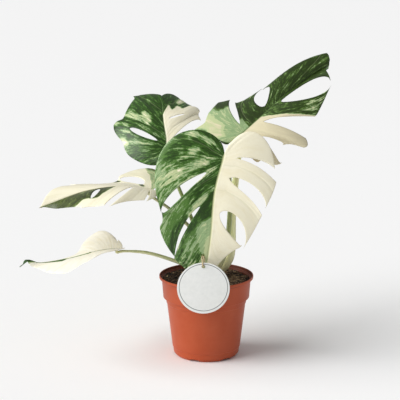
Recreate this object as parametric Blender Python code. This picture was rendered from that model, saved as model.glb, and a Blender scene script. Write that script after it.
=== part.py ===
"""Potted variegated monstera: five grown leaves on their stalks, a short stem, potting soil, a round
terracotta-coloured plastic nursery pot, and a round card tag tied through the front leaf with twine.

Frame: metres, +Z up, origin at the middle of the pot's foot. The front of the plant looks along -Y.
Sizes below are in millimetres and degrees and are turned into metres when a mesh is made.
"""
import math

import bmesh
import bpy
import numpy as np

MM = 0.001

# Pot: radii and heights of the moulded wall.
RIM_R = 60.0
RIM_TOP = 104.0
RIM_DEEP = 3.5
COLLAR_TOP_R = 56.8
COLLAR_LOW_R = 55.0
COLLAR_LOW_Z = 78.0
STEP_Z = 75.0
BODY_TOP_R = 51.0
BODY_LOW_R = 42.3
FOOT_R = 39.0
FOOT_RING = 8.0
FOOT_DEEP = 3.4
PAD_R = 14.0
WALL = 1.5
POT_SIDES = 44
NOTCHES = 6
NOTCH_WIDE = 14.0
NOTCH_HIGH = 2.9
NOTCH_TURN = -0.39

# Soil: its level slopes from the front left down to the back right.
SOIL_LEVEL = 99.5
SOIL_SLOPE_X = -0.02
SOIL_SLOPE_Y = -0.02
SOIL_CLEAR = 0.4
HOLE_DEEP = 12.5
HOLE_CLEAR = 0.4

# Tag and twine.
TAG_R = 32.5
TAG_THICK = 1.2
TAG_X = -3.8
TAG_Z = 103.4
TAG_FRONT_Y = -61.8
TAG_HOLE_R = 2.2
TAG_HOLE_Z = 131.0
TWINE_R = 0.75
TIE_X = -4.3
TIE_Y = -43.5
TIE_Z = 139.6
TIE_HOLE_R = 2.8

# Leaves.
BLADE = 0.7
COLUMNS = 24
ROWS = 8
VEIN_STEPS = 12

# Share of the midrib at which the side veins leave it, from the stalk (first) to the tip (last).
ROOTS = (0.0, 0.01, 0.035, 0.08, 0.16, 0.28, 0.45, 0.70, 1.0)
ROOTS_TIGHT = (0.0, 0.05, 0.13, 0.22, 0.33, 0.45, 0.6, 0.8, 1.0)

# For each half: number of lobes, then values spread evenly from the stalk end to the tip.
# angle: side vein against the midrib; sweep: its bend towards the tip; reach: its length in mm;
# lift: its rise where it leaves the midrib; droop: its fall towards the margin;
# ends: how full each lobe is at its first edge, middle and last edge.
# points: pointed ends and hollows of the margin, as place, half width and extra length.
# slits: lobe edge, start and end along the vein, half width in the middle, half width at the margin,
# and lean towards the tip, the last three in shares of a lobe. An end below 1 makes a closed hole.
LEAVES = {
    "leaf_front": {
        "rib": ((22, -16, 262), (10, -30, 217), (5, -40, 162), (-3, -47, 109)),
        "face": ((0.0, -1.0, 0.25), (0.02, -1.0, 0.2), (0.0, -1.0, 0.05)),
        "roots": ROOTS,
        "right_hand": {
            "lobes": 3,
            "angle": (170, 106, 42, 50, 50, 51, 0),
            "sweep": (19, 23, 11, 37, 47, 24, 0),
            "reach": (4, 71, 98, 101, 91, 56, 3),
            "lift": (6, 5, 5),
            "droop": (17, 19, 20),
            "ends": (1.02, 0.99, 0.99, 0.98, 1.01, 1.02, 1.02, 1.02, 1.0),
            "slits": ((1, 0.24, 1.0, 0.088, 0.0, 0.026), (2, 0.25, 1.0, 0.06, 0.012, 0.08)),
        },
        "left_hand": {
            "lobes": 4,
            "angle": (178, 156, 114, 100, 89, 93, 74, 67, 0),
            "sweep": (3, 22, 41, 44, 48, 50, 57, 25, 0),
            "reach": (5, 49, 69, 76, 74, 70, 60, 27, 3),
            "lift": (7, 8, 5),
            "droop": (23, 21, 20),
            "ends": (1.01, 0.99, 0.98, 1.01, 0.98, 1.01, 1.01, 0.99, 1.06, 0.97, 1.0, 1.0),
            "slits": (
                (1, 0.25, 1.0, 0.02, 0.106, 0.092),
                (2, 0.2, 1.0, 0.16, 0.13, 0.0),
                (3, 0.16, 1.0, 0.172, 0.012, 0.02),
            ),
        },
    },
    "leaf_upper_right": {
        "rib": ((42, 24, 279), (72, 55, 300), (109, 88, 327), (160, 122, 351)),
        "face": ((0.0, -0.5, 0.87), (0.0, -0.45, 0.9), (0.1, -0.35, 0.95)),
        "roots": ROOTS,
        "right_hand": {
            "lobes": 4,
            "angle": (140, 115, 78, 77, 53, 61, 43, 14, 0),
            "sweep": (22, 21, 22, 16, 18, 16, 18, 17, 0),
            "reach": (10, 62, 66, 81, 51, 74, 76, 48, 3),
            "lift": (13, -3, 16, 21, 22, 22, 22, 21, 20),
            "droop": (62, 66, 57, 52, 48, 42, 35, 28, 11),
            "ends": (0.99, 1.0, 1.0, 0.84, 0.99, 1.05, 1.02, 0.95, 1.03, 1.01, 0.99, 1.0),
            "points": ((0.25, 0.2, -0.12), (0.5, 0.3, -0.5), (0.75, 0.24, -0.48)),
            "slits": (
                (1, 0.4, 1.0, 0.06, 0.1, -0.1),
                (2, 0.3, 1.0, 0.007, 0.38, 0.026),
                (3, 0.12, 1.0, 0.203, 0.025, 0.025),
            ),
        },
        "left_hand": {
            "lobes": 3,
            "angle": (172, 118, 64, 72, 52, 20, 0),
            "sweep": (15, 18, 29, 31, 40, 25, 0),
            "reach": (19, 54, 76, 58, 54, 71, 3),
            "lift": (2, 5, 3, 3, 7, 13, 20),
            "droop": (30, 21, 20, 19, 14, 8, 11),
            "ends": (1.0, 0.9, 1.02, 0.97, 0.98, 1.03, 0.93, 1.05, 1.0),
            "points": (
                (0.25, 0.25, -0.22), (0.5, 0.15, 0.33), (0.75, 0.14, 0.06), (0.875, 0.14, 0.15),
                (2.55, 0.12, 0.1), (2.8, 0.2, -0.06),
            ),
            "slits": ((1, 0.2, 1.0, 0.014, 0.2, 0.167), (2, 0.2, 1.0, 0.13, 0.015, -0.11)),
        },
    },
    "leaf_upper_left": {
        "rib": ((-52, 14, 252), (-51, 32, 272), (-55, 56, 293), (-58, 92, 318)),
        "face": ((0.0, -0.75, 0.6), (0.0, -0.7, 0.7), (0.0, -0.4, 0.9)),
        "roots": ROOTS_TIGHT,
        "right_hand": {
            "lobes": 3,
            "angle": (149, 97, 39, 40, 34, 18, 0),
            "sweep": (25, 13, 2, -5, -8, -4, 0),
            "reach": (9, 48, 76, 77, 62, 47, 4),
            "lift": (0, 2, 4),
            "droop": (35, 39, 30),
            "ends": (1.0, 0.98, 1.02, 0.94, 1.0, 1.01, 1.01, 1.06, 1.0),
            "points": ((2.125, 0.14, -0.06), (2.375, 0.2, 0.03)),
            "slits": ((1, 0.15, 1.0, 0.07, 0.035, -0.06), (2, 0.22, 0.6, 0.055, 0.0, -0.38)),
        },
        "left_hand": {
            "lobes": 3,
            "angle": (156, 118, 63, 50, 34, 38, 0),
            "sweep": (22, 3, 0, 5, 14, 7, 0),
            "reach": (9, 32, 76, 71, 74, 56, 4),
            "lift": (9, 10, 4),
            "droop": (40, 39, 30),
            "ends": (1.0, 1.0, 1.0, 1.0, 0.98, 0.98, 1.02, 1.02, 1.0),
            "points": ((0.8, 0.15, -0.13), (1.0, 0.4, 0.08), (2.2, 0.2, 0.04), (2.6, 0.3, -0.05)),
            "slits": ((1, 0.17, 0.7, 0.075, 0.0, 0.03),),
        },
    },
    "leaf_mid_left": {
        "rib": ((-68, 2, 214), (-103, -4, 220), (-152, -12, 215), (-206, -20, 196)),
        "face": ((0.0, -0.05, 1.0), (0.0, -0.05, 1.0), (0.0, -0.1, 1.0)),
        "roots": ROOTS,
        "right_hand": {
            "lobes": 4,
            "angle": (134, 105, 77, 72, 68, 60, 42, 22, 0),
            "sweep": (24, 21, 22, 20, 19, 18, 19, 16, 0),
            "reach": (18, 65, 68, 63, 69, 68, 54, 34, 3),
            "lift": (18, 11, 2, -4, -6, -2, 7, 17, 14),
            "droop": (-4, 2, 8, 12, 15, 14, 10, 6, 13),
            "ends": (1.0, 1.06, 0.97, 0.97, 0.97, 0.99, 1.01, 0.98, 0.98, 0.99, 1.02, 1.0),
            "slits": ((1, 0.28, 0.87, 0.31, 0.0, 0.2), (3, 0.72, 1.0, 0.015, 0.09, -0.05)),
        },
        "left_hand": {
            "lobes": 4,
            "angle": (141, 107, 90, 77, 68, 60, 52, 26, 0),
            "sweep": (21, 21, 21, 21, 19, 20, 20, 16, 0),
            "reach": (4, 28, 46, 59, 75, 65, 54, 31, 3),
            "lift": (15, 14, 12, 11, 9, 7, 6, 4, 14),
            "droop": (31, 33, 36, 38, 38, 36, 32, 28, 13),
            "ends": (1.0, 0.98, 1.04, 0.97, 0.96, 1.04, 0.97, 0.98, 1.04, 1.01, 1.0, 1.0),
            "slits": (
                (1, 0.2, 1.0, 0.02, 0.044, 0.01),
                (2, 0.12, 1.0, 0.058, 0.096, 0.042),
                (3, 0.12, 0.7, 0.07, 0.0, -0.2),
            ),
        },
    },
    "leaf_low_left": {
        "rib": (
            (-109, -12, 141), (-123, -14, 140.5), (-139, -17, 138.5), (-161, -21, 133.5),
            (-184, -25, 129), (-208, -29, 127), (-221, -31.5, 131), (-231, -34, 125),
        ),
        "face": ((0.0, -0.05, 1.0), (0.0, -0.05, 1.0), (0.0, -0.1, 1.0)),
        "roots": ROOTS,
        "right_hand": {
            "lobes": 4,
            "angle": (157, 125, 104, 94, 83, 63, 44, 27, 0),
            "sweep": (20, 21, 20, 18, 17, 19, 21, 15, 0),
            "reach": (4, 12, 34, 72, 58, 26, 12, 8, 3),
            "lift": (21, 19, 16, 14, 12, 10, 9, 8, 4),
            "droop": (15, 17, 20, 22, 23, 23, 23, 22, 24),
            "ends": (1.0, 1.0, 0.98, 1.0, 1.02, 1.0, 0.98, 0.97, 0.99, 1.0, 0.99, 1.0),
            "slits": ((1, 0.6, 1.0, 0.02, 0.07, 0.0),),
        },
        "left_hand": {
            "lobes": 4,
            "angle": (145, 108, 82, 76, 70, 66, 54, 28, 0),
            "sweep": (20, 21, 22, 21, 21, 20, 18, 16, 0),
            "reach": (6, 24, 50, 66, 66, 60, 44, 20, 3),
            "lift": (26, 23, 20, 17, 14, 11, 7, 4, 4),
            "droop": (12, 14, 16, 18, 20, 22, 24, 25, 24),
            "ends": (1.0, 1.0, 0.99, 1.0, 1.0, 0.99, 1.01, 1.01, 1.0, 1.01, 0.99, 1.0),
            "slits": (),
        },
    },
}

# Stalks: points along the middle in mm, from the soil up to the back of the leaf, and radii along them.
# The last point is left out: each stalk ends square against the back of its leaf.
STALKS = {
    "stalk_front": {
        "leaf": "leaf_front",
        "middle": ((9, -6, 86), (10, -6, 104), (22, -5, 130), (28, -3, 160), (30, 0, 205), (27, 0, 250)),
        "radii": (4.0, 4.0, 3.8, 3.4, 2.8, 2.4, 2.4),
    },
    "stalk_upper_right": {
        "leaf": "leaf_upper_right",
        "middle": (
            (14, 12, 86), (14, 12, 97), (16, 12, 106), (25, 11, 118),
            (31, 10, 136), (33, 12, 190), (42, 27, 255),
        ),
        "radii": (6.8, 6.8, 7.3, 7.8, 6.8, 5.6, 3.2, 2.3),
    },
    "stalk_upper_left": {
        "leaf": "leaf_upper_left",
        "middle": ((-4, 25, 86), (-3, 25, 116), (-8, 21, 142), (-19, 17, 174), (-33, 19, 208), (-47, 24, 241)),
        "radii": (3.6, 3.4, 3.0, 2.6, 2.4, 2.2),
    },
    "stalk_mid_left": {
        "leaf": "leaf_mid_left",
        "middle": (
            (3, 18, 86), (3, 18, 100), (5, 16, 118), (-2, 12, 142), (-24, 6, 168), (-47, 1, 190), (-64, 1, 202),
        ),
        "radii": (3.3, 3.3, 3.1, 2.7, 2.4, 2.1, 2.0),
    },
    "stalk_low_left": {
        "leaf": "leaf_low_left",
        "middle": (
            (-9, -1, 86), (-10, -1, 102), (-20, 0, 113), (-46, 0, 124), (-76, -5, 134), (-103, -11, 137.5),
        ),
        "radii": (3.2, 3.0, 2.7, 2.4, 2.2, 1.6),
    },
}
STALK_SIDES = 10
STALK_STEPS = 14
STALK_GAP = 0.45

STEM = {"middle": ((2, 4, 86), (2, 4, 102), (3, 4, 118)), "radii": (5.6, 6.0, 4.4)}


def clear_scene():
    for thing in list(bpy.data.objects):
        bpy.data.objects.remove(thing, do_unlink=True)


def make_material(name, colour, rough):
    material = bpy.data.materials.new(name)
    material.use_nodes = True
    surface = material.node_tree.nodes["Principled BSDF"]
    surface.inputs["Base Color"].default_value = (*colour, 1.0)
    surface.inputs["Roughness"].default_value = rough
    return material


def pot_plastic():
    return make_material("terracotta_plastic", (0.52, 0.12, 0.07), 0.45)


def potting_soil():
    return make_material("potting_soil", (0.02, 0.012, 0.008), 0.95)


def leaf_skin():
    return make_material("leaf_skin", (0.10, 0.28, 0.08), 0.4)


def stalk_skin():
    return make_material("stalk_skin", (0.45, 0.5, 0.2), 0.45)


def tag_card():
    return make_material("tag_card", (0.75, 0.76, 0.72), 0.7)


def jute_twine():
    return make_material("jute_twine", (0.6, 0.48, 0.3), 0.9)


def unit(vectors):
    return vectors / np.linalg.norm(vectors, axis=-1, keepdims=True)


def ease(share, values):
    """Smooth curve through values spread evenly over share = 0..1."""
    knots = np.asarray(values, float)
    flat = knots.ndim == 1
    if flat:
        knots = knots[:, None]
    last = len(knots) - 1
    place = np.clip(np.asarray(share, float), 0.0, 1.0) * last
    slopes = np.gradient(knots, axis=0)
    first = np.minimum(place.astype(int), last - 1)
    t = (place - first)[..., None]
    curve = (
        (2 * t**3 - 3 * t**2 + 1) * knots[first]
        + (t**3 - 2 * t**2 + t) * slopes[first]
        + (3 * t**2 - 2 * t**3) * knots[first + 1]
        + (t**3 - t**2) * slopes[first + 1]
    )
    return curve[..., 0] if flat else curve


def add_object(name, points, faces, material):
    """One object from points in mm."""
    mesh = bpy.data.meshes.new(name)
    mesh.from_pydata([tuple(float(c) * MM for c in p) for p in points], [], faces)
    mesh.materials.append(material)
    mesh.validate()
    thing = bpy.data.objects.new(name, mesh)
    bpy.context.scene.collection.objects.link(thing)
    return thing


def face_outwards(thing):
    work = bmesh.new()
    work.from_mesh(thing.data)
    bmesh.ops.recalc_face_normals(work, faces=work.faces)
    bmesh.ops.triangulate(work, faces=work.faces)
    work.to_mesh(thing.data)
    work.free()


def cut_away(thing, cutters):
    """Takes the cutters' volume out of the thing and removes the cutters."""
    for cutter in cutters:
        change = thing.modifiers.new("cut", "BOOLEAN")
        change.operation = "DIFFERENCE"
        change.solver = "EXACT"
        change.object = cutter
    graph = bpy.context.evaluated_depsgraph_get()
    graph.update()
    result = bpy.data.meshes.new_from_object(thing.evaluated_get(graph))
    thing.modifiers.clear()
    thing.data = result
    for cutter in cutters:
        bpy.data.objects.remove(cutter, do_unlink=True)


def turned(name, profile, sides, material):
    """Body of revolution about Z from a closed outline of (radius, height); radius 0 is a pole."""
    points = []
    rings = []
    for radius, height in profile:
        if radius == 0:
            rings.append([len(points)] * sides)
            points.append((0.0, 0.0, height))
            continue
        rings.append(list(range(len(points), len(points) + sides)))
        for k in range(sides):
            a = 2 * math.pi * k / sides
            points.append((radius * math.cos(a), radius * math.sin(a), height))
    faces = []
    pairs = list(zip(rings, rings[1:]))
    if profile[0][0] != 0:
        pairs.append((rings[-1], rings[0]))
    for low, high in pairs:
        for k in range(sides):
            j = (k + 1) % sides
            corners = []
            for c in (low[k], low[j], high[j], high[k]):
                if c not in corners:
                    corners.append(c)
            faces.append(corners)
    thing = add_object(name, points, faces, material)
    face_outwards(thing)
    return thing


def tube(name, middle, radii, steps, sides, material, closed=False, end_along=None):
    """Round bar of changing radius along a curve given in mm; a closed one is a ring."""
    path = np.asarray(middle, float)
    if closed:
        share = np.arange(steps) / steps
        path = np.vstack([path[-1], path, path[:2]])
        inner = len(path) - 1
        line = ease((1 + share * (len(middle))) / inner, path)
        ahead = np.roll(line, -1, axis=0)
        behind = np.roll(line, 1, axis=0)
    else:
        share = np.linspace(0.0, 1.0, steps)
        line = ease(share, path)
        ahead = np.vstack([line[1:], line[-1:]])
        behind = np.vstack([line[:1], line[:-1]])
    along = unit(ahead - behind)
    if end_along is not None:
        along[-1] = end_along
    width = ease(share, radii)
    lead = np.eye(3)[np.argmin(np.abs(along[0]))]
    points = []
    for p, d, r in zip(line, along, width):
        lead = unit(lead - np.dot(lead, d) * d)
        other = np.cross(d, lead)
        for k in range(sides):
            a = 2 * math.pi * k / sides
            points.append(p + r * (math.cos(a) * lead + math.sin(a) * other))
    faces = []
    spans = steps if closed else steps - 1
    for i in range(spans):
        n = (i + 1) % steps
        shift = 0
        if closed and n == 0:
            gaps = [np.linalg.norm(points[k] - points[i * sides]) for k in range(sides)]
            shift = int(np.argmin(gaps))
        for k in range(sides):
            j = (k + 1) % sides
            faces.append((i * sides + k, i * sides + j, n * sides + (j + shift) % sides,
                          n * sides + (k + shift) % sides))
    if not closed:
        faces.append(tuple(range(sides)))
        faces.append(tuple((steps - 1) * sides + k for k in range(sides)))
    thing = add_object(name, points, faces, material)
    face_outwards(thing)
    return thing


def rib_frame(leaf, share):
    """Point, direction, right-hand side and upper side along the midrib."""
    even = np.linspace(0.0, 1.0, 121)
    line = ease(even, leaf["rib"])
    run = np.concatenate([[0.0], np.cumsum(np.linalg.norm(np.diff(line, axis=0), axis=1))])
    run = run / run[-1]

    def pick(at):
        return np.stack([np.interp(at, run, line[:, c]) for c in range(3)], -1)

    along = unit(pick(np.clip(share + 0.02, 0, 1)) - pick(np.clip(share - 0.02, 0, 1)))
    face = ease(share, leaf["face"])
    up = unit(face - np.sum(face * along, -1, keepdims=True) * along)
    return pick(share), along, np.cross(along, up), up


def lobe_end(half, lobe, inside):
    """How far the blade runs along a vein of this lobe; 1 is the even margin."""
    start, middle, end = half["ends"][3 * lobe:3 * lobe + 3]
    fill = start * (1 - inside) * (1 - 2 * inside)
    fill += middle * 4 * inside * (1 - inside)
    fill += end * inside * (2 * inside - 1)
    for place, wide, extra in half.get("points", ()):
        fill += extra * max(0.0, 1 - abs(lobe + inside - place) / wide) ** 1.5
    return fill


def vein_point(leaf, half, hand, place, share):
    """Point of the blade: share 0..1 along the side vein that stands at place 0..lobes."""
    x = np.array(place / half["lobes"])
    root, up_along, side, up = rib_frame(leaf, ease(x, leaf["roots"]))
    angle, sweep, reach, lift, droop = [
        float(ease(x, half[key])) for key in ("angle", "sweep", "reach", "lift", "droop")
    ]
    total = np.zeros(3)
    for k in range(VEIN_STEPS):
        w = share * (k + 0.5) / VEIN_STEPS
        turn = math.radians(angle - sweep * w)
        rise = math.radians(lift - droop * w)
        total += math.cos(rise) * math.cos(turn) * up_along
        total += hand * math.cos(rise) * math.sin(turn) * side
        total += math.sin(rise) * up
    return root + total * share * reach / VEIN_STEPS


def slit_edges(slit, share):
    """Places of a slit's two edges at this share of the vein, counted in lobes."""
    edge, start, end, wide, mouth, lean = slit
    inside = min(max((share - start) / (end - start), 0.0), 1.0)
    half = wide * 2 * math.sqrt(inside * (1 - inside)) + mouth * inside**0.6
    return edge + lean * inside - half, edge + lean * inside + half


def blade_sheet(leaf):
    """Points and triangles of the middle surface of a leaf, lobes parted along the slits."""
    points = []
    triangles = []
    table = {}

    def corner(hand, half, lobe, column, row):
        per_lobe = COLUMNS // half["lobes"]
        share = row / ROWS
        edge = lobe if column == 0 else lobe + 1 if column == per_lobe else None
        slit = None
        if edge is not None:
            slit = next((s for s in half["slits"] if s[0] == edge), None)
        parted = slit is not None and slit[1] < share - 1e-6 and (share < slit[2] - 1e-6 or slit[2] >= 1.0)
        if row == 0:
            key = ("rib", lobe * per_lobe + column)
        elif edge == half["lobes"]:
            key = ("tip", row)
        elif edge is not None and not parted:
            key = (hand, "edge", edge, row)
        else:
            key = (hand, lobe, column, row)
        if key in table:
            return table[key]
        inside = column / per_lobe
        fade = max(0.0, (share - 0.5) / 0.5) ** 2
        reach = share * (1 + (lobe_end(half, lobe, inside) - 1) * fade)
        low = lobe
        high = lobe + 1
        for cut in half["slits"]:
            if cut[0] == lobe:
                low = slit_edges(cut, share)[1]
            if cut[0] == lobe + 1:
                high = slit_edges(cut, share)[0]
        place = low + (high - low) * inside
        table[key] = len(points)
        points.append(vein_point(leaf, half, hand, place, reach))
        return table[key]

    for hand, key in ((1, "right_hand"), (-1, "left_hand")):
        half = leaf[key]
        per_lobe = COLUMNS // half["lobes"]
        for lobe in range(half["lobes"]):
            for column in range(per_lobe):
                for row in range(ROWS):
                    a = corner(hand, half, lobe, column, row)
                    b = corner(hand, half, lobe, column + 1, row)
                    c = corner(hand, half, lobe, column + 1, row + 1)
                    d = corner(hand, half, lobe, column, row + 1)
                    for trio in ((a, b, d), (b, c, d)):
                        if hand == 1:
                            trio = trio[::-1]
                        if len(set(trio)) == 3:
                            triangles.append(trio)
    return np.array(points), np.array(triangles)


def thicken(points, triangles, thick):
    """Closed body from a sheet, triangles alike on both faces."""
    corners = points[triangles]
    facing = np.cross(corners[:, 1] - corners[:, 0], corners[:, 2] - corners[:, 0])
    normal = np.zeros_like(points)
    for c in range(3):
        np.add.at(normal, triangles[:, c], facing)
    normal = unit(normal)
    top = points + normal * thick / 2
    under = points - normal * thick / 2
    count = len(points)
    faces = [tuple(int(i) for i in t) for t in triangles]
    faces += [tuple(int(i) + count for i in t[::-1]) for t in triangles]
    edges = {}
    for t in triangles:
        for a, b in ((t[0], t[1]), (t[1], t[2]), (t[2], t[0])):
            edges[(int(a), int(b))] = True
    for a, b in edges:
        if (b, a) not in edges:
            faces.append((b, a, a + count))
            faces.append((b, a + count, b + count))
    return np.vstack([top, under]), faces


def round_cutter(x, z, near, far, radius, sides, material):
    """Bar along Y that cuts a round hole at x, z."""
    points = []
    for y in (near, far):
        for k in range(sides):
            a = 2 * math.pi * k / sides
            points.append((x + radius * math.cos(a), y, z + radius * math.sin(a)))
    faces = [tuple(range(sides)), tuple(range(sides, 2 * sides))]
    faces += [(k, (k + 1) % sides, (k + 1) % sides + sides, k + sides) for k in range(sides)]
    cutter = add_object("round_cutter", points, faces, material)
    face_outwards(cutter)
    return cutter


def make_leaf(name, material):
    points, triangles = blade_sheet(LEAVES[name])
    solid, faces = thicken(points, triangles, BLADE)
    leaf = add_object(name, solid, faces, material)
    if name == "leaf_front":
        cut_away(leaf, [round_cutter(TIE_X, TIE_Z, TIE_Y - 6, TIE_Y + 6, TIE_HOLE_R, 12, material)])
        face_outwards(leaf)
    return leaf


def make_stalk(name, material):
    stalk = STALKS[name]
    root, along, side, up = rib_frame(LEAVES[stalk["leaf"]], np.array(0.03))
    top = root - up * (BLADE / 2 + STALK_GAP)
    middle = list(stalk["middle"]) + [tuple(top - up * 4), tuple(top)]
    radii = stalk["radii"] + (stalk["radii"][-1],) * (len(middle) - len(stalk["radii"]))
    return tube(name, middle, radii, STALK_STEPS, STALK_SIDES, material, end_along=up)


def make_stem(material):
    return tube("stem", STEM["middle"], STEM["radii"], 6, 14, material)


def inner_wall():
    """Inside of the pot as (radius, height) from the rim down to the floor."""
    return (
        (RIM_R - WALL, RIM_TOP),
        (RIM_R - WALL, RIM_TOP - RIM_DEEP),
        (COLLAR_TOP_R - WALL, RIM_TOP - RIM_DEEP - 1.5),
        (COLLAR_LOW_R - WALL, COLLAR_LOW_Z),
        (BODY_TOP_R - WALL, STEP_Z + 1.5),
        (BODY_LOW_R - WALL + 0.6, 9.0),
        (BODY_LOW_R - WALL - 3.0, FOOT_DEEP + WALL + 0.5),
    )


def make_pot(material):
    outside = (
        (FOOT_R - FOOT_RING, 0.0),
        (FOOT_R - 1.0, 0.0),
        (FOOT_R + 1.6, 1.2),
        (BODY_LOW_R, 5.0),
        (BODY_TOP_R, STEP_Z - 1.0),
        (COLLAR_LOW_R, COLLAR_LOW_Z - 2.5),
        (COLLAR_TOP_R, RIM_TOP - RIM_DEEP),
        (RIM_R, RIM_TOP - RIM_DEEP),
        (RIM_R, RIM_TOP - 0.6),
        (RIM_R - 0.5, RIM_TOP),
    )
    profile = [(0.0, 0.0), (PAD_R, 0.0), (PAD_R + 1.0, FOOT_DEEP), (FOOT_R - FOOT_RING - 1.0, FOOT_DEEP)]
    profile += list(outside) + list(inner_wall())
    profile.append((0.0, FOOT_DEEP + WALL + 0.5))
    pot = turned("pot", profile, POT_SIDES, material)
    cutters = []
    for k in range(NOTCHES):
        a = 2 * math.pi * k / NOTCHES - math.pi / 2 + NOTCH_TURN
        across = np.array([-math.sin(a), math.cos(a), 0.0]) * NOTCH_WIDE / 2
        out = np.array([math.cos(a), math.sin(a), 0.0])
        near = out * (FOOT_R - FOOT_RING - 4)
        far = out * (FOOT_R + 12)
        low = np.array([0, 0, -5.0])
        high = np.array([0, 0, NOTCH_HIGH])
        points = []
        for base in (near, far):
            for level in (low, high):
                for hand in (-1, 1):
                    points.append(base + across * hand + level)
        faces = [(0, 1, 3, 2), (4, 6, 7, 5), (0, 4, 5, 1), (2, 3, 7, 6), (0, 2, 6, 4), (1, 5, 7, 3)]
        cutter = add_object("notch_cutter", points, faces, material)
        face_outwards(cutter)
        cutters.append(cutter)
    cut_away(pot, cutters)
    face_outwards(pot)
    return pot


def soil_height(x, y):
    return SOIL_LEVEL + SOIL_SLOPE_X * x + SOIL_SLOPE_Y * y + 0.8 * math.sin(x * 0.13 + 1) * math.cos(y * 0.11)


def make_soil(material, standing):
    """Soil fills the pot; every stem and stalk stands in its own plain round hole."""
    sides = POT_SIDES
    wall = [(r - SOIL_CLEAR, z) for r, z in inner_wall()[3:]]
    wall[-1] = (wall[-1][0], wall[-1][1] + SOIL_CLEAR)
    upper = COLLAR_TOP_R - WALL - SOIL_CLEAR - 0.4
    rings = [(upper * share, None) for share in (0.25, 0.5, 0.75, 1.0)] + wall
    points = [(0.0, 0.0, soil_height(0, 0))]
    for radius, height in rings:
        for k in range(sides):
            a = 2 * math.pi * k / sides
            x = radius * math.cos(a)
            y = radius * math.sin(a)
            points.append((x, y, soil_height(x, y) if height is None else height))
    points.append((0.0, 0.0, wall[-1][1]))
    faces = []
    for k in range(sides):
        j = (k + 1) % sides
        faces.append((0, 1 + k, 1 + j))
        for ring in range(len(rings) - 1):
            a = 1 + ring * sides
            b = a + sides
            faces.append((a + k, b + k, b + j, a + j))
        a = 1 + (len(rings) - 1) * sides
        faces.append((a + k, len(points) - 1, a + j))
    soil = add_object("soil", points, faces, material)
    face_outwards(soil)
    cutters = []
    for x, y, radius in standing:
        count = 16
        foot = [(x + (radius + HOLE_CLEAR) / math.cos(math.pi / count) * math.cos(2 * math.pi * k / count),
                 y + (radius + HOLE_CLEAR) / math.cos(math.pi / count) * math.sin(2 * math.pi * k / count))
                for k in range(count)]
        bottom = SOIL_LEVEL - HOLE_DEEP - 2
        points = [(*p, bottom) for p in foot] + [(*p, RIM_TOP + 10) for p in foot]
        faces = [tuple(range(count)), tuple(range(count, 2 * count))]
        faces += [(k, (k + 1) % count, (k + 1) % count + count, k + count) for k in range(count)]
        cutter = add_object("hole_cutter", points, faces, material)
        face_outwards(cutter)
        cutters.append(cutter)
    cut_away(soil, cutters)
    face_outwards(soil)
    return soil


def make_tag(material):
    count = 48
    rings = []
    points = []
    for y in (TAG_FRONT_Y, TAG_FRONT_Y + TAG_THICK):
        rings.append([])
        for k in range(count):
            a = 2 * math.pi * k / count
            rings[-1].append(len(points))
            points.append((TAG_X + TAG_R * math.cos(a), y, TAG_Z + TAG_R * math.sin(a)))
    faces = [tuple(rings[0]), tuple(rings[1])]
    for k in range(count):
        j = (k + 1) % count
        faces.append((rings[0][k], rings[0][j], rings[1][j], rings[1][k]))
    tag = add_object("tag", points, faces, material)
    face_outwards(tag)
    front, back = TAG_FRONT_Y - 3, TAG_FRONT_Y + TAG_THICK + 3
    cutter = round_cutter(TAG_X, TAG_HOLE_Z, front, back, TAG_HOLE_R, 16, material)
    cut_away(tag, [cutter])
    face_outwards(tag)
    return tag


def make_twine(material):
    """Closed loop of twine: through the tie hole of the front leaf and through the eye of the tag."""
    front = TAG_FRONT_Y
    back = TAG_FRONT_Y + TAG_THICK
    middle = (
        (TIE_X, TIE_Y + 5.0, TIE_Z + 0.5),
        (TIE_X - 0.95, TIE_Y, TIE_Z),
        (TIE_X - 1.2, TIE_Y - 8.0, TIE_Z - 0.4),
        (TAG_X - 1.2, back + 0.5, TAG_HOLE_Z + 7.0),
        (TAG_X - 1.0, front - 1.9, TAG_HOLE_Z + 4.0),
        (TAG_X - 0.4, front - 1.8, TAG_HOLE_Z + 0.6),
        (TAG_X, (front + back) / 2, TAG_HOLE_Z - 0.4),
        (TAG_X + 0.4, back + 1.8, TAG_HOLE_Z + 0.6),
        (TAG_X + 1.2, back + 2.4, TAG_HOLE_Z + 4.0),
        (TIE_X + 1.2, TIE_Y - 8.0, TIE_Z - 1.2),
        (TIE_X + 0.95, TIE_Y, TIE_Z),
    )
    return tube("tag_twine", middle, (TWINE_R, TWINE_R), 36, 6, material, closed=True)


def main():
    clear_scene()
    make_pot(pot_plastic())
    skin = stalk_skin()
    standing = [(*STEM["middle"][0][:2], max(STEM["radii"]))]
    standing += [(*s["middle"][0][:2], max(s["radii"][:2]) + 0.5) for s in STALKS.values()]
    make_soil(potting_soil(), standing)
    make_stem(skin)
    for name in STALKS:
        make_stalk(name, skin)
    blade = leaf_skin()
    for name in LEAVES:
        make_leaf(name, blade)
    make_tag(tag_card())
    make_twine(jute_twine())


main()
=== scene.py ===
import math

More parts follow.
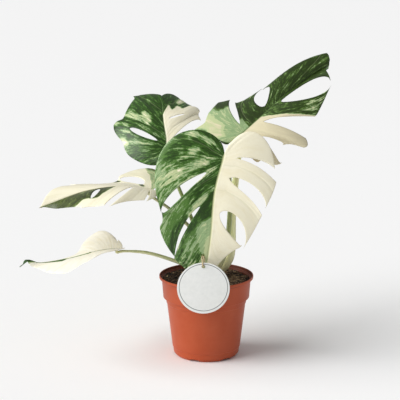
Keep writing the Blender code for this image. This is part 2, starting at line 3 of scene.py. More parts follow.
import bmesh
import bpy
import numpy as np
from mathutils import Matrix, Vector


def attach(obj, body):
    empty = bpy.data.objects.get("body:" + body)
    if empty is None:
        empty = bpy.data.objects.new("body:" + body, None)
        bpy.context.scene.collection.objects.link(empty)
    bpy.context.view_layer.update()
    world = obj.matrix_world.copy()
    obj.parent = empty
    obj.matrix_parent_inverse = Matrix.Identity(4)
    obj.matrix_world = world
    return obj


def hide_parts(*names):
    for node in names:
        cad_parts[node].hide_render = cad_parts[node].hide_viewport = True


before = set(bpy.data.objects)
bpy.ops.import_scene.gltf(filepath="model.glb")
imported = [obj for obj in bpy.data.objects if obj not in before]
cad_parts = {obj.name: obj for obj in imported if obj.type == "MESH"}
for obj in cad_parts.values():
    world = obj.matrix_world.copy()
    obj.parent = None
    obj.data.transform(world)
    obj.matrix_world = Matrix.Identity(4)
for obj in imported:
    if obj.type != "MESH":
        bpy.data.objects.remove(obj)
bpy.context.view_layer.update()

# Nursery pot: one thin injection moulding of terracotta-coloured plastic. It has a rolled lip, a deep
# collar that nests over the next pot, a tapered body, and a foot ring with drainage notches.
MM = 0.001
LIP_R, LIP_TOP, LIP_DEEP = 60.0, 104.0, 3.5
COLLAR_TOP_R, COLLAR_LOW_R, COLLAR_LOW_Z = 56.8, 55.0, 78.0
BODY_TOP_R, BODY_LOW_R, STEP_Z = 51.0, 42.3, 75.0
FOOT_R, FOOT_RING, FOOT_DEEP, PAD_R = 39.0, 8.0, 3.4, 14.0
POT_WALL = 1.5
NOTCH_COUNT, NOTCH_WIDE, NOTCH_HIGH, NOTCH_TURN = 6, 14.0, 3.0, 0.39
ARCH_HIGH = 2.2
NOTCH_ARCH = ((-1.0, -5.0), (1.0, -5.0), (1.0, 0.4), (0.8, 1.5),
              (0.4, 2.1), (-0.4, 2.1), (-0.8, 1.5), (-1.0, 0.4))
POT_SIDES, POT_SHARP = 144, 42
# The five numbers on the next line and the dark plastic colour below set the painted shade inside the collar
# and the lip: its ragged edge, where it is full and gone, and how dark it is.
INNER_SHADE_RAGGED, INNER_SHADE_FULL, INNER_SHADE_GONE, INNER_SHADE_DARK, LEDGE_SHADE_DARK = 1.2, 0.2, 1.0, 0.85, 0.8
PLASTIC, PLASTIC_WORN = (0.435, 0.071, 0.020), (0.475, 0.090, 0.031)
PLASTIC_PAINTED_SHADE = (0.10, 0.030, 0.016)


def shader(name, rough, shine=0.5):
    """A new material and its surface shader, with the roughness and the strength of its shine set."""
    material = bpy.data.materials.new(name)
    material.use_nodes = True
    surface = material.node_tree.nodes["Principled BSDF"]
    surface.inputs["Roughness"].default_value = rough
    surface.inputs["Specular IOR Level"].default_value = shine
    return material, surface


def add_node(tree, kind, inputs=None, **settings):
    """A node with its settings; inputs maps a socket's name or number to a value or to another socket."""
    node = tree.nodes.new(kind)
    for key, value in settings.items():
        setattr(node, key, value)
    for key, value in (inputs or {}).items():
        if isinstance(value, bpy.types.NodeSocket):
            tree.links.new(value, node.inputs[key])
        else:
            node.inputs[key].default_value = value
    return node


def reckon(a, b=0.0, operation="ADD"):
    """A shader value with a number or another value added, or another operation on the two."""
    return add_node(a.id_data, "ShaderNodeMath", {0: a, 1: b}, operation=operation).outputs[0]


def times(a, b):
    return reckon(a, b, "MULTIPLY")


def distance(a, b):
    return reckon(reckon(times(a, a), times(b, b)), 0.5, "POWER")


def remap(value, start, end, first=0.0, last=1.0):
    """A shader value that runs from first to last while the given one runs from start to end."""
    return add_node(value.id_data, "ShaderNodeMapRange", {
        "Value": value, "From Min": start, "From Max": end, "To Min": first, "To Max": last}).outputs[0]


def tint(base, share, colour):
    """The base colour with a plain colour laid over it by a share."""
    return add_node(base.id_data, "ShaderNodeMix", {"Factor": share, "A": base, "B": (*colour, 1.0)},
                    data_type="RGBA").outputs["Result"]


def colour_band(value, stops):
    """Colours spread over a value by (place, colour) stops."""
    band = add_node(value.id_data, "ShaderNodeValToRGB", {"Fac": value})
    ramp = band.color_ramp
    while len(ramp.elements) < len(stops):
        ramp.elements.new(0.5)
    for element, (place, colour) in zip(ramp.elements, stops):
        element.position = place
        element.color = (*colour, 1.0)
    return band.outputs["Color"]


def paint(surface, colour):
    surface.id_data.links.new(colour, surface.inputs["Base Color"])


def grain_bump(surface, height, distance, strength):
    bump = add_node(surface.id_data, "ShaderNodeBump",
                    {"Height": height, "Distance": distance, "Strength": strength})
    surface.id_data.links.new(bump.outputs["Normal"], surface.inputs["Normal"])


def object_place(surface):
    return add_node(surface.id_data, "ShaderNodeTexCoord").outputs["Object"]


def split_xyz(where):
    return add_node(where.id_data, "ShaderNodeSeparateXYZ", {0: where}).outputs


def noise_on(where, scale, detail, rough=0.5, distortion=0.0):
    return add_node(where.id_data, "ShaderNodeTexNoise", {
        "Vector": where, "Scale": scale, "Detail": detail, "Roughness": rough, "Distortion": distortion,
    }).outputs["Fac"]


def make_piece(name, points_mm, faces, materials, smooth=True, closed=True):
    """One piece from points in millimetres; the faces of a closed body are turned outwards."""
    mesh = bpy.data.meshes.new(name)
    mesh.from_pydata([tuple(p) for p in np.asarray(points_mm, float) * MM], [], faces)
    for material in materials:
        mesh.materials.append(material)
    mesh.update()
    if smooth:
        mesh.polygons.foreach_set("use_smooth", [True] * len(mesh.polygons))
    if closed:
        work = bmesh.new()
        work.from_mesh(mesh)
        bmesh.ops.recalc_face_normals(work, faces=work.faces)
        work.to_mesh(mesh)
        work.free()
    piece = bpy.data.objects.new(name, mesh)
    bpy.context.scene.collection.objects.link(piece)
    return piece


def ring_faces(rings):
    """Faces between rings of point numbers; a ring that repeats one number is a pole."""
    faces = []
    for low, high in zip(rings, rings[1:]):
        for k in range(len(low)):
            j = (k + 1) % len(low)
            corners = [low[k], low[j], high[j], high[k]]
            faces.append([c for n, c in enumerate(corners) if c not in corners[:n]])
    return faces


def turned_body(profile, sides):
    """Points and faces of a body turned about Z from (radius, height) points; radius 0 is a pole."""
    points, rings = [], []
    for radius, height in profile:
        count = sides if radius else 1
        rings.append([len(points) + k % count for k in range(sides)])
        turn = np.arange(count) * math.tau / sides
        points += [(radius * math.cos(a), radius * math.sin(a), height) for a in turn]
    return points, ring_faces(rings)


def eased_corners(outline, size=0.7, steps=4):
    """Outline with every inner corner rounded by the same size, less where the sides are short."""
    out = [outline[0]]
    for before, corner, after in zip(outline, outline[1:], outline[2:]):
        corner, ends = np.array(corner), []
        for other in (before, after):
            length = np.linalg.norm(other - corner)
            ends.append(corner + (other - corner) / length * min(size, length * 0.45))
        for k in range(steps + 1):
            t = k / steps
            out.append(tuple((1 - t) ** 2 * ends[0] + 2 * t * (1 - t) * corner + t * t * ends[1]))
    out.append(outline[-1])
    return out


def cut_out(piece, cutters):
    """Takes the cutters out of the piece for good."""
    for cutter in cutters:
        change = piece.modifiers.new("cut", "BOOLEAN")
        change.operation, change.solver, change.object = "DIFFERENCE", "EXACT", cutter
    graph = bpy.context.evaluated_depsgraph_get()
    graph.update()
    result = bpy.data.meshes.new_from_object(piece.evaluated_get(graph))
    piece.modifiers.clear()
    piece.data = result
    for cutter in cutters:
        bpy.data.objects.remove(cutter, do_unlink=True)


def bar_faces(sides):
    """Faces of a straight bar: its two ends, then its sides."""
    ends = [list(range(sides)), list(range(sides, 2 * sides))]
    return ends + ring_faces(ends)


def terracotta_plastic():
    """Matt moulded plastic: faint cloudy colour, a fine satin grain, and painted shade inside the wall and
    the lip.
    """
    material, surface = shader("terracotta_plastic", 0.44, 0.3)
    where = object_place(surface)
    cloud = noise_on(where, 34.0, 4.0, 0.6)
    clean = colour_band(cloud, ((0.35, PLASTIC), (0.75, PLASTIC_WORN)))
    x, y, z = split_xyz(where)
    off = distance(x, y)
    # Painted shade: the inner face of the collar, from a little above its foot, and the inside of the lip are
    # darkened towards a deep brown, with a ragged edge.
    slope = times(reckon(z, -LIP_TOP * MM), (COLLAR_TOP_R - COLLAR_LOW_R) / (LIP_TOP - COLLAR_LOW_Z))
    deep = reckon(reckon(off, slope, "SUBTRACT"), -(COLLAR_TOP_R - POT_WALL / 2) * MM)
    deep = reckon(deep, times(cloud, INNER_SHADE_RAGGED * MM))
    painted_shade = remap(deep, INNER_SHADE_FULL * MM, INNER_SHADE_GONE * MM, INNER_SHADE_DARK, 0.0)
    painted_shade = times(painted_shade, reckon(z, (COLLAR_LOW_Z + 3.0) * MM, "GREATER_THAN"))
    ledge_shade = times(reckon(off, (LIP_R - 1.0) * MM, "LESS_THAN"),
                  reckon(z, (LIP_TOP - LIP_DEEP - 1.6) * MM, "GREATER_THAN"))
    painted_shade = reckon(painted_shade, times(ledge_shade, LEDGE_SHADE_DARK), "MAXIMUM")
    paint(surface, tint(clean, painted_shade, PLASTIC_PAINTED_SHADE))
    grain_bump(surface, noise_on(where, 1400.0, 2.0), 0.00015, 0.35)
    return material


pot_outline = eased_corners((
    (0.0, 0.0), (PAD_R, 0.0), (PAD_R + 1.0, FOOT_DEEP), (FOOT_R - FOOT_RING - 1.0, FOOT_DEEP),
    (FOOT_R - FOOT_RING, 0.0), (FOOT_R, 0.0), (BODY_LOW_R - 0.5, 3.2), (BODY_LOW_R + 0.3, 10.2),
    (BODY_LOW_R + 1.1, 10.9), (BODY_TOP_R - 0.8, STEP_Z - 7.0), (BODY_TOP_R, STEP_Z - 6.2),
    (BODY_TOP_R, STEP_Z - 0.4), (COLLAR_LOW_R, COLLAR_LOW_Z - 2.2), (COLLAR_LOW_R + 0.1, COLLAR_LOW_Z),
    (COLLAR_TOP_R, LIP_TOP - LIP_DEEP), (LIP_R, LIP_TOP - LIP_DEEP), (LIP_R, LIP_TOP),
    (LIP_R - POT_WALL, LIP_TOP), (LIP_R - POT_WALL - 0.3, LIP_TOP - LIP_DEEP),
    (COLLAR_TOP_R - POT_WALL, LIP_TOP - LIP_DEEP - 1.5), (COLLAR_LOW_R - POT_WALL, COLLAR_LOW_Z),
    (BODY_TOP_R - POT_WALL, STEP_Z + 1.5), (BODY_LOW_R - POT_WALL - 1.0, FOOT_DEEP + POT_WALL + 0.5),
    (0.0, FOOT_DEEP + POT_WALL + 0.5)))
nursery_pot = make_piece("nursery_pot", *turned_body(pot_outline, POT_SIDES), [terracotta_plastic()])
notch_cutters = []
for number in range(NOTCH_COUNT):
    turn = math.tau * number / NOTCH_COUNT - math.pi / 2 - NOTCH_TURN
    outward = np.array([math.cos(turn), math.sin(turn), 0.0])
    across = np.array([-math.sin(turn), math.cos(turn), 0.0])
    notch_points = [outward * out + across * a * NOTCH_WIDE / 2 + np.array([0, 0, b * NOTCH_HIGH / ARCH_HIGH])
                    for out in (FOOT_R - FOOT_RING - 4, FOOT_R + 12) for a, b in NOTCH_ARCH]
    notch = make_piece("notch_cutter", notch_points, bar_faces(len(NOTCH_ARCH)), [], smooth=False)
    notch_cutters.append(notch)
cut_out(nursery_pot, notch_cutters)
nursery_pot.data.set_sharp_from_angle(angle=math.radians(POT_SHARP))
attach(nursery_pot, "root")
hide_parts("pot")

# Potting soil: dark peat worked up into crumbs, with brown coir chips and fibres pressed into the top.
# It fills the pot nearly to the lip and slopes a little down to the back right.
SOIL_LEVEL, SOIL_SLOPE, SOIL_EDGE = 99.5, -0.02, 54.4
SOIL_FOOT = FOOT_DEEP + POT_WALL + 0.9
SOIL_RINGS, SOIL_SIDES = 50, 156
SOIL_WALL = ((53.0, 79.0), (49.0, 76.0), (39.6, SOIL_FOOT))
CRUMBS, CHIPS, BITS_CLEAR = 1500, 520, 2.2
FIBRES, FIBRE_SIDES, FIBRES_CLEAR = 280, 5, 7.0
FIBRE_LONG, FIBRE_BEND, FIBRE_LIFT, FIBRE_ARCH = (3.0, 11.0), 0.9, 0.5, 0.7
FIBRE_RADII = (0.16, 0.2, 0.22, 0.22, 0.22, 0.2, 0.14)
PEAT_DARK, PEAT_BROWN = (0.014, 0.009, 0.005), (0.125, 0.070, 0.036)
COIR_DARK, COIR_PALE = (0.15, 0.085, 0.042), (0.55, 0.39, 0.24)
luck = np.random.default_rng(41)


def soil_height(x, y):
    wave = 0.8 * np.sin(x * 0.13 + 1) * np.cos(y * 0.11)
    lump = 0.6 * np.sin(x * 0.41 + 2) * np.sin(y * 0.37) + 0.35 * np.sin(x * 0.93 + y * 0.71)
    return SOIL_LEVEL + SOIL_SLOPE * (x + y) + wave + lump


def keep_value(piece, name, values):
    """A number for each corner point of a piece, for its material to read."""
    layer = piece.data.attributes.new(name, "FLOAT", "POINT")
    layer.data.foreach_set("value", np.asarray(values, np.float32))


def stored(surface, name):
    return add_node(surface.id_data, "ShaderNodeAttribute", attribute_name=name).outputs["Fac"]


def peat(name, dark, bright):
    """Crumbly peat: every crumb keeps its own stored shade, and the surface is rough and damp."""
    material, surface = shader(name, 0.9)
    where = object_place(surface)
    mixed = reckon(noise_on(where, 420.0, 5.0, 0.7), stored(surface, "shade"))
    paint(surface, colour_band(times(mixed, 0.5), ((0.3, dark), (0.8, bright))))
    grain_bump(surface, noise_on(where, 900.0, 6.0, 0.75), 0.0012, 0.9)
    return material


soil_points = [(0.0, 0.0, soil_height(0.0, 0.0))]
for ring in range(1, SOIL_RINGS + 1):
    radius = SOIL_EDGE * ring / SOIL_RINGS
    for k in range(SOIL_SIDES):
        turn = math.tau * (k + 0.5 * (ring % 2)) / SOIL_SIDES
        x, y = radius * math.cos(turn), radius * math.sin(turn)
        rough = luck.uniform(-0.5, 0.4) if ring < SOIL_RINGS else -0.3
        soil_points.append((x, y, soil_height(x, y) + rough))
soil_points += turned_body((*SOIL_WALL, (0.0, SOIL_FOOT)), SOIL_SIDES)[0]
numbers = np.arange(1, len(soil_points) - 1).reshape(-1, SOIL_SIDES).tolist()
soil_faces = ring_faces([[0] * SOIL_SIDES, *numbers, [len(soil_points) - 1] * SOIL_SIDES])
potting_soil = make_piece("potting_soil", soil_points, soil_faces, [peat("peat", PEAT_DARK, PEAT_BROWN)])
keep_value(potting_soil, "shade", luck.uniform(0.1, 0.6, len(soil_points)))
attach(potting_soil, "root")
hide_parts("soil")


def join_on(points, faces, more_points, more_faces):
    """Adds one more body to the points and faces of a piece."""
    faces += [tuple(int(i) + len(points) for i in face) for face in more_faces]
    points += list(more_points)


def turn_matrix(angle, first, second):
    """Matrix that turns rows of points by an angle, in the plane of two axes."""
    matrix = np.eye(3)
    matrix[first, first] = matrix[second, second] = math.cos(angle)
    matrix[first, second], matrix[second, first] = math.sin(angle), -math.sin(angle)
    return matrix


def scatter_bits(name, count, sizes, stretch, material, sink, gather):
    """Small uneven chunks lying on the soil, joined in one piece and gathered to the right by a share."""
    seed_ball = bmesh.new()
    bmesh.ops.create_icosphere(seed_ball, subdivisions=1, radius=1.0)
    ball = np.array([v.co[:] for v in seed_ball.verts])
    ball_faces = [[v.index for v in f.verts] for f in seed_ball.faces]
    seed_ball.free()
    points, faces, shades = [], [], []
    for _ in range(count):
        radius = (SOIL_EDGE - BITS_CLEAR) * math.sqrt(luck.uniform(0, 1))
        turn = luck.uniform(-math.pi, math.pi) * (1 - gather * luck.uniform(0, 1))
        x, y = radius * math.cos(turn), radius * math.sin(turn)
        size = luck.uniform(*sizes)
        shape = ball * luck.uniform(0.72, 1.25, (len(ball), 1)) * size
        shape = shape * np.array([stretch * luck.uniform(0.7, 1.3), 1.0, 0.75])
        spin, tip = luck.uniform(0, math.tau), luck.uniform(-0.5, 0.5)
        shape = shape @ turn_matrix(tip, 0, 2) @ turn_matrix(spin, 0, 1)
        join_on(points, faces, shape + np.array([x, y, soil_height(x, y) + size * sink]), ball_faces)
        shades += [luck.uniform(0.0, 1.0)] * len(ball)
    bits = make_piece(name, points, faces, [material], smooth=False)
    keep_value(bits, "shade", shades)
    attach(bits, "root")


scatter_bits("soil_crumbs", CRUMBS, (0.5, 1.9), 1.2, peat("peat_crumb", PEAT_DARK, PEAT_BROWN),
             sink=0.2, gather=0.0)
scatter_bits("coir_chips", CHIPS, (0.4, 1.3), 2.6, peat("coir", COIR_DARK, COIR_PALE),
             sink=0.5, gather=0.7)


def unit(vectors):
    return vectors / np.linalg.norm(vectors, axis=-1, keepdims=True)


def carried_sides(along, lead):
    """Two side directions at each step of a line, carried along it without twist."""
    leads = []
    for direction in along:
        lead = unit(lead - np.dot(lead, direction) * direction)
        leads.append(lead)
    return np.array(leads), np.cross(along, leads)


def directions_round(line):
    """Direction at each point of a closed line."""
    return unit(np.roll(line, -1, axis=0) - np.roll(line, 1, axis=0))


def grow_tube(line, radii, sides, shape=None, closed=False, end_along=None):
    """Points, faces and (share, turn) of a round bar along a line.

    shape scales the radius by share and turn.
    """
    line = np.asarray(line, float)
    steps = len(line)
    along = directions_round(line) if closed else unit(np.gradient(line, axis=0))
    if end_along is not None:
        along[-1] = end_along
    leads, others = carried_sides(along, np.eye(3)[np.argmin(np.abs(along[0]))])
    turn = np.arange(sides) * math.tau / sides
    points, marks = [], []
    for i in range(steps):
        share = i / (steps - 1)
        wide = radii[i] * (shape(share, turn) if shape else np.ones(sides))
        spokes = np.cos(turn)[:, None] * leads[i] + np.sin(turn)[:, None] * others[i]
        points += list(line[i] + wide[:, None] * spokes)
        marks += [(share, a) for a in turn]
    rings = np.arange(steps * sides).reshape(steps, sides).tolist()
    if closed:
        shift = int(np.argmin([np.linalg.norm(points[k] - points[-sides]) for k in range(sides)]))
        faces = ring_faces([*rings, rings[0][shift:] + rings[0][:shift]])
    else:
        faces = ring_faces(rings) + [rings[0], rings[-1]]
    return np.array(points), faces, np.array(marks)


fibre_points, fibre_faces = [], []
fibre_steps = len(FIBRE_RADII) - 1
for _ in range(FIBRES):
    radius = (SOIL_EDGE - FIBRES_CLEAR) * math.sqrt(luck.uniform(0, 1))
    turn = luck.uniform(-math.pi, math.pi) * luck.uniform(0.3, 1)
    heading = luck.uniform(0, math.tau)
    length, bend = luck.uniform(*FIBRE_LONG), luck.uniform(-FIBRE_BEND, FIBRE_BEND)
    walk, x, y = [], radius * math.cos(turn), radius * math.sin(turn)
    for k in range(fibre_steps + 1):
        arch = FIBRE_ARCH * math.sin(math.pi * k / fibre_steps)
        walk.append((x, y, soil_height(x, y) + FIBRE_LIFT + arch))
        x += math.cos(heading + bend * k / fibre_steps) * length / fibre_steps
        y += math.sin(heading + bend * k / fibre_steps) * length / fibre_steps
    join_on(fibre_points, fibre_faces, *grow_tube(walk, FIBRE_RADII, FIBRE_SIDES)[:2])
coir_fibres = make_piece("coir_fibres", fibre_points, fibre_faces, [peat("coir_fibre", COIR_DARK, COIR_PALE)])
keep_value(coir_fibres, "shade", luck.uniform(0.3, 1.0, len(fibre_points)))
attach(coir_fibres, "root")

# Short upright stem: a stub of green stem wrapped by the dried, cream-yellow leaf bases of older leaves.
# It stands in the middle of the soil, and the leaf stalks come up around it.
STEM_MIDDLE = ((2, 4, 86), (2, 4, 102), (3, 4, 118))
STEM_RADII = (5.6, 6.0, 4.4)
STEM_STEPS, STEM_SIDES, STEM_SLIM = 30, 40, 0.96
DRIED_EDGE, DRY_ABOVE, DRY_BELOW = 3.4, 27, 13
STALK_GREEN, STALK_LIGHT = (0.115, 0.190, 0.045), (0.40, 0.46, 0.19)
STALK_CREAM, SHEATH_BROWN = (0.78, 0.72, 0.44), (0.15, 0.085, 0.025)


def combined(x, y, z):
    return add_node(x.id_data, "ShaderNodeCombineXYZ", {0: x, 1: y, 2: z}).outputs[0]


def stalk_skin(name, dark, light, cream):
    """Waxy stalk skin: lengthwise streaks between two greens, cream at the foot, brown where it has dried."""
    material, surface = shader(name, 0.36)
    run, turn, upper, brown = [stored(surface, key) for key in ("run", "turn", "upper", "brown")]
    streak = noise_on(combined(times(run, 0.05), times(turn, 1.5), 3.0), 2.0, 5.0, 0.65)
    skin = colour_band(reckon(streak, times(upper, -0.22)), ((0.26, dark), (0.52, light)))
    foot = remap(reckon(run, times(streak, 40.0)), 35.0, 85.0, cream, 0.0)
    paint(surface, tint(tint(skin, foot, STALK_CREAM), brown, SHEATH_BROWN))
    grain_bump(surface, streak, 0.0004, 0.5)
    return material


def smooth_curve(share, values):
    """Smooth curve through values spread evenly over share = 0..1."""
    knots = np.asarray(values, float)
    flat = knots.ndim == 1
    if flat:
        knots = knots[:, None]
    last = len(knots) - 1
    place = np.clip(np.asarray(share, float), 0.0, 1.0) * last
    slopes = np.gradient(knots, axis=0)
    first = np.minimum(place.astype(int), last - 1)
    t = (place - first)[..., None]
    curve = ((2 * t**3 - 3 * t**2 + 1) * knots[first] + (t**3 - 2 * t**2 + t) * slopes[first]
             + (3 * t**2 - 2 * t**3) * knots[first + 1] + (t**3 - t**2) * slopes[first + 1])
    return curve[..., 0] if flat else curve


def run_along(line):
    """Millimetres from the start of a line to each of its points."""
    return np.concatenate([[0.0], np.cumsum(np.linalg.norm(np.diff(line, axis=0), axis=1))])


def hump(value, middle, wide):
    return np.exp(-((value - middle) / wide) ** 2)


def finish_tube(name, line, radii, sides, material, shape=None, end_along=None, brown=None):
    """A stalk-like piece that carries its run in millimetres, its turn, and where it has dried brown."""
    points, faces, marks = grow_tube(line, radii, sides, shape, end_along=end_along)
    piece = make_piece(name, points, faces, [material])
    run, turn = run_along(line).repeat(sides), marks[:, 1]
    keep_value(piece, "run", run)
    keep_value(piece, "turn", np.abs(turn - math.pi))
    keep_value(piece, "upper", (points[:, 2] - line[:, 2].repeat(sides)) / radii.repeat(sides))
    keep_value(piece, "brown", brown(run, turn) if brown else np.zeros(len(points)))
    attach(piece, "root")
    return piece


def dried_base(share, turn):
    return 1 + 0.05 * np.sin(5 * turn + 4 * share) + 0.10 * hump(turn, DRIED_EDGE, 0.22)


def stem_dried(run, turn):
    edge = 1.1 * hump(turn, DRIED_EDGE, 0.3)
    return np.clip(edge + 0.9 * (run > DRY_ABOVE) + 0.5 * (run < DRY_BELOW), 0, 1)


stem_share = np.linspace(0, 1, STEM_STEPS)
stem = finish_tube(
    "stem_base", smooth_curve(stem_share, STEM_MIDDLE), smooth_curve(stem_share, STEM_RADII) * STEM_SLIM,
    STEM_SIDES, stalk_skin("stem_skin", STALK_GREEN, STALK_LIGHT, 0.9), dried_base, brown=stem_dried)
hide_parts("stem")

# Front leaf and its stalk: a split blade that hangs down over the lip, marbled green on one half and
# ivory on the other. The blade grows on a round stalk, thickened at the joint where it turns to the light.
BLADE_THICK = 0.7
COLUMNS, ROWS, ROW_PACK = 120, 56, 1.2
VEIN_STEPS, RIB_STEPS, RIB_STEP, RIB_MARKS, WIDTH_ROW = 12, 121, 0.02, 200, 42
PATCH_EASE_ACROSS, PATCH_EASE_ALONG = 0.05, 0.06
QUILT_HIGH, QUILT_FROM, QUILT_FULL, QUILT_WIDE = 0.9, 2.0, 16.0, 30.0
FURROW_DEEP, FURROW_WIDE, WAVE_HIGH, WAVE_TURNS = 0.35, 1.3, 0.8, 7.3
RIB_WIDE, RIB_NARROWS, KEEL_DEEP, KEEL_FADES = 1.5, 0.9, 1.1, 0.75
CREASE_DEEP, SHOULDER_HIGH, SHOULDER_OUT, SHOULDER_WIDE = 0.22, 0.12, 2.2, 1.2
RIM_FROM, RIM_THINS = 0.93, 0.45
LEFT_PLACE, LEFT_ACROSS = 20, 900
BLADE_VALUES = ("place", "across", "run", "beside", "tone", "mottle", "share", "width")
SKIN_VALUES = BLADE_VALUES[:6]
STALK_STEPS, STALK_SIDES, STALK_SLIM, STALK_MEETS, STALK_GAP = 110, 28, 0.97, 0.03, 0.15
JOINT_SWELLS, JOINT_FROM_END, JOINT_LONG = 0.16, 9.0, 7.0
WAIST_THINS, WAIST_FROM_END, WAIST_LONG = 0.1, 20.0, 4.0
ROOTS = (0.0, 0.01, 0.035, 0.08, 0.16, 0.28, 0.45, 0.70, 1.0)
IVORY, WARM_IVORY, RIB_PALE = (0.93, 0.88, 0.68), (0.85, 0.77, 0.51), (0.62, 0.65, 0.34)
DEEP_GREEN, LEAF_GREEN, MID_GREEN = (0.020, 0.056, 0.005), (0.036, 0.105, 0.010), (0.088, 0.195, 0.036)
GREENS = (DEEP_GREEN, LEAF_GREEN, MID_GREEN, IVORY)
SAGE, PALE_MARBLE = (0.30, 0.43, 0.205), (0.52, 0.59, 0.31)
UNDER_GREEN, UNDER_SAGE = (0.085, 0.18, 0.062), (0.36, 0.42, 0.24)
UNDER_CREAM, UNDER_BEIGE = (0.66, 0.57, 0.38), (0.56, 0.45, 0.27)
# The rows of each half, with places along the midrib counted in lobes and shares along the side veins:
# slits (place, first and last share, width, mouth, lean), ends (three lengths for each lobe), points (place,
# width, extra length) and patches (first and last place, first and last share, tone, mottling).
front_leaf = dict(
    rib=((22, -16, 262), (10, -30, 217), (5, -40, 162), (-3, -47, 109)),
    face=((0.0, -1.0, 0.25), (0.02, -1.0, 0.2), (0.0, -1.0, 0.05)),
    roots=ROOTS,
    right_hand=dict(
        lobes=3, tone=0.17,
        angle=(170, 106, 42, 50, 50, 51, 0), sweep=(19, 23, 11, 37, 47, 24, 0),
        reach=(4, 71, 98, 101, 91, 56, 3),
        lift=(6, 5, 5), droop=(17, 19, 20),
        ends=(1.02, 0.99, 0.99, 0.98, 1.01, 1.02, 1.02, 1.02, 1.0),
        slits=((1, 0.24, 1.0, 0.088, 0.0, 0.026), (2, 0.25, 1.0, 0.06, 0.012, 0.08)),
        patches=(
            # The first patch, a pale sage band along the margin of the top lobe, is a painted sheen.
            (0.5, 0.88, 0.88, 1.2, 0.43, 0.3), (0.53, 0.63, 0.4, 0.56, 0.74, 0.5),
            (0.33, 0.44, 0.7, 0.94, 0.62, 0.6), (0.29, 0.38, 0.36, 0.72, 0.62, 0.5),
            (0.66, 0.74, 0.1, 0.3, 0.52, 0.9), (0.74, 0.84, 0.2, 0.95, 0.62, 0.7),
            (0.94, 1.02, 0.15, 0.5, 0.62, 0.8), (0.86, 1.0, 0.6, 0.95, 0.4, 0.6),
            # On the next line, the second patch, over the outer half of the middle lobe, is its own mid green
            # marbling partly lightened as a painted sheen.
            (1.02, 1.12, 0.1, 0.45, 0.55, 0.9), (1.1, 1.8, 0.45, 1.2, 0.42, 0.25),
            (1.84, 1.99, 0.1, 0.5, 0.66, 0.5), (2.0, 2.3, 0.0, 0.6, 0.14, 1.0),
            (2.0, 2.35, 0.6, 1.2, 0.3, 1.0), (2.45, 3.1, 0.3, 1.2, 0.36, 1.3),
            (2.3, 2.6, 0.3, 0.75, 0.42, 0.4), (2.3, 3.1, -0.1, 0.36, 0.56, 0.18),
            (2.55, 3.1, -0.1, 0.2, 0.66, 0.1),
        ),
    ),
    left_hand=dict(
        lobes=4, tone=1.5,
        angle=(178, 156, 114, 100, 89, 93, 74, 67, 0), sweep=(3, 22, 41, 44, 48, 50, 57, 25, 0),
        reach=(5, 49, 69, 76, 74, 70, 60, 27, 3),
        lift=(7, 8, 5), droop=(23, 21, 20),
        ends=(1.01, 0.99, 0.98, 1.01, 0.98, 1.01, 1.01, 0.99, 1.06, 0.97, 1.0, 1.0),
        slits=(
            (1, 0.25, 1.0, 0.02, 0.106, 0.092),
            (2, 0.2, 1.0, 0.16, 0.13, 0.0),
            (3, 0.16, 1.0, 0.172, 0.012, 0.02),
        ),
        patches=(),
    ),
)


def point_at(place, run, line):
    return np.stack([np.interp(place, run, line[:, axis]) for axis in range(3)], -1)


def rib_frame(leaf, share):
    """Point, direction, right-hand side and upper side along the midrib."""
    line = smooth_curve(np.linspace(0.0, 1.0, RIB_STEPS), leaf["rib"])
    run = run_along(line)
    run = run / run[-1]
    before, after = [point_at(np.clip(share + step, 0, 1), run, line) for step in (-RIB_STEP, RIB_STEP)]
    along = unit(after - before)
    face = smooth_curve(share, leaf["face"])
    up = unit(face - np.sum(face * along, -1, keepdims=True) * along)
    return point_at(share, run, line), along, np.cross(along, up), up


def vein_points(leaf, half, hand, place, share):
    """Points of the blade and their run in millimetres: share 0..1 along the side vein at each place."""
    x = place / half["lobes"]
    root, forward, side, up = rib_frame(leaf, smooth_curve(x, leaf["roots"]))
    angle, sweep, reach, lift, droop = [
        smooth_curve(x, half[key]) for key in ("angle", "sweep", "reach", "lift", "droop")]
    total = np.zeros_like(root)
    for k in range(VEIN_STEPS):
        w = share * (k + 0.5) / VEIN_STEPS
        turn = np.radians(angle - sweep * w)
        rise = np.radians(lift - droop * w)
        total += (np.cos(rise) * np.cos(turn))[..., None] * forward
        total += (hand * np.cos(rise) * np.sin(turn))[..., None] * side
        total += np.sin(rise)[..., None] * up
    return root + total * (share * reach / VEIN_STEPS)[..., None], share * reach


def slit_edges(slit, share):
    """Places of a slit's two edges at each share of the vein, counted in lobes."""
    edge, start, end, wide, mouth, lean = slit
    inside = np.clip((share - start) / (end - start), 0.0, 1.0)
    half = wide * 2 * np.sqrt(inside * (1 - inside)) + mouth * inside**0.6
    return edge + lean * inside - half, edge + lean * inside + half


def soft_step(value, start, end):
    t = np.clip((value - start) / (end - start), 0.0, 1.0)
    return t * t * (3 - 2 * t)


def within(value, start, end, ease):
    return soft_step(value, start - ease, start + ease) * (1 - soft_step(value, end - ease, end + ease))


def half_tone(half, place, share):
    """How pale the blade is, from 0 deep green to 1 ivory, and how strongly it is mottled there."""
    tone = np.full(place.shape, float(half["tone"]))
    mottle = np.ones(place.shape)
    for left, right, near, far, patch, strength in half["patches"]:
        weight = within(place, left, right, PATCH_EASE_ACROSS) * within(share, near, far, PATCH_EASE_ALONG)
        tone = tone + (patch - tone) * weight
        mottle = mottle + (strength - mottle) * weight
    return tone, mottle


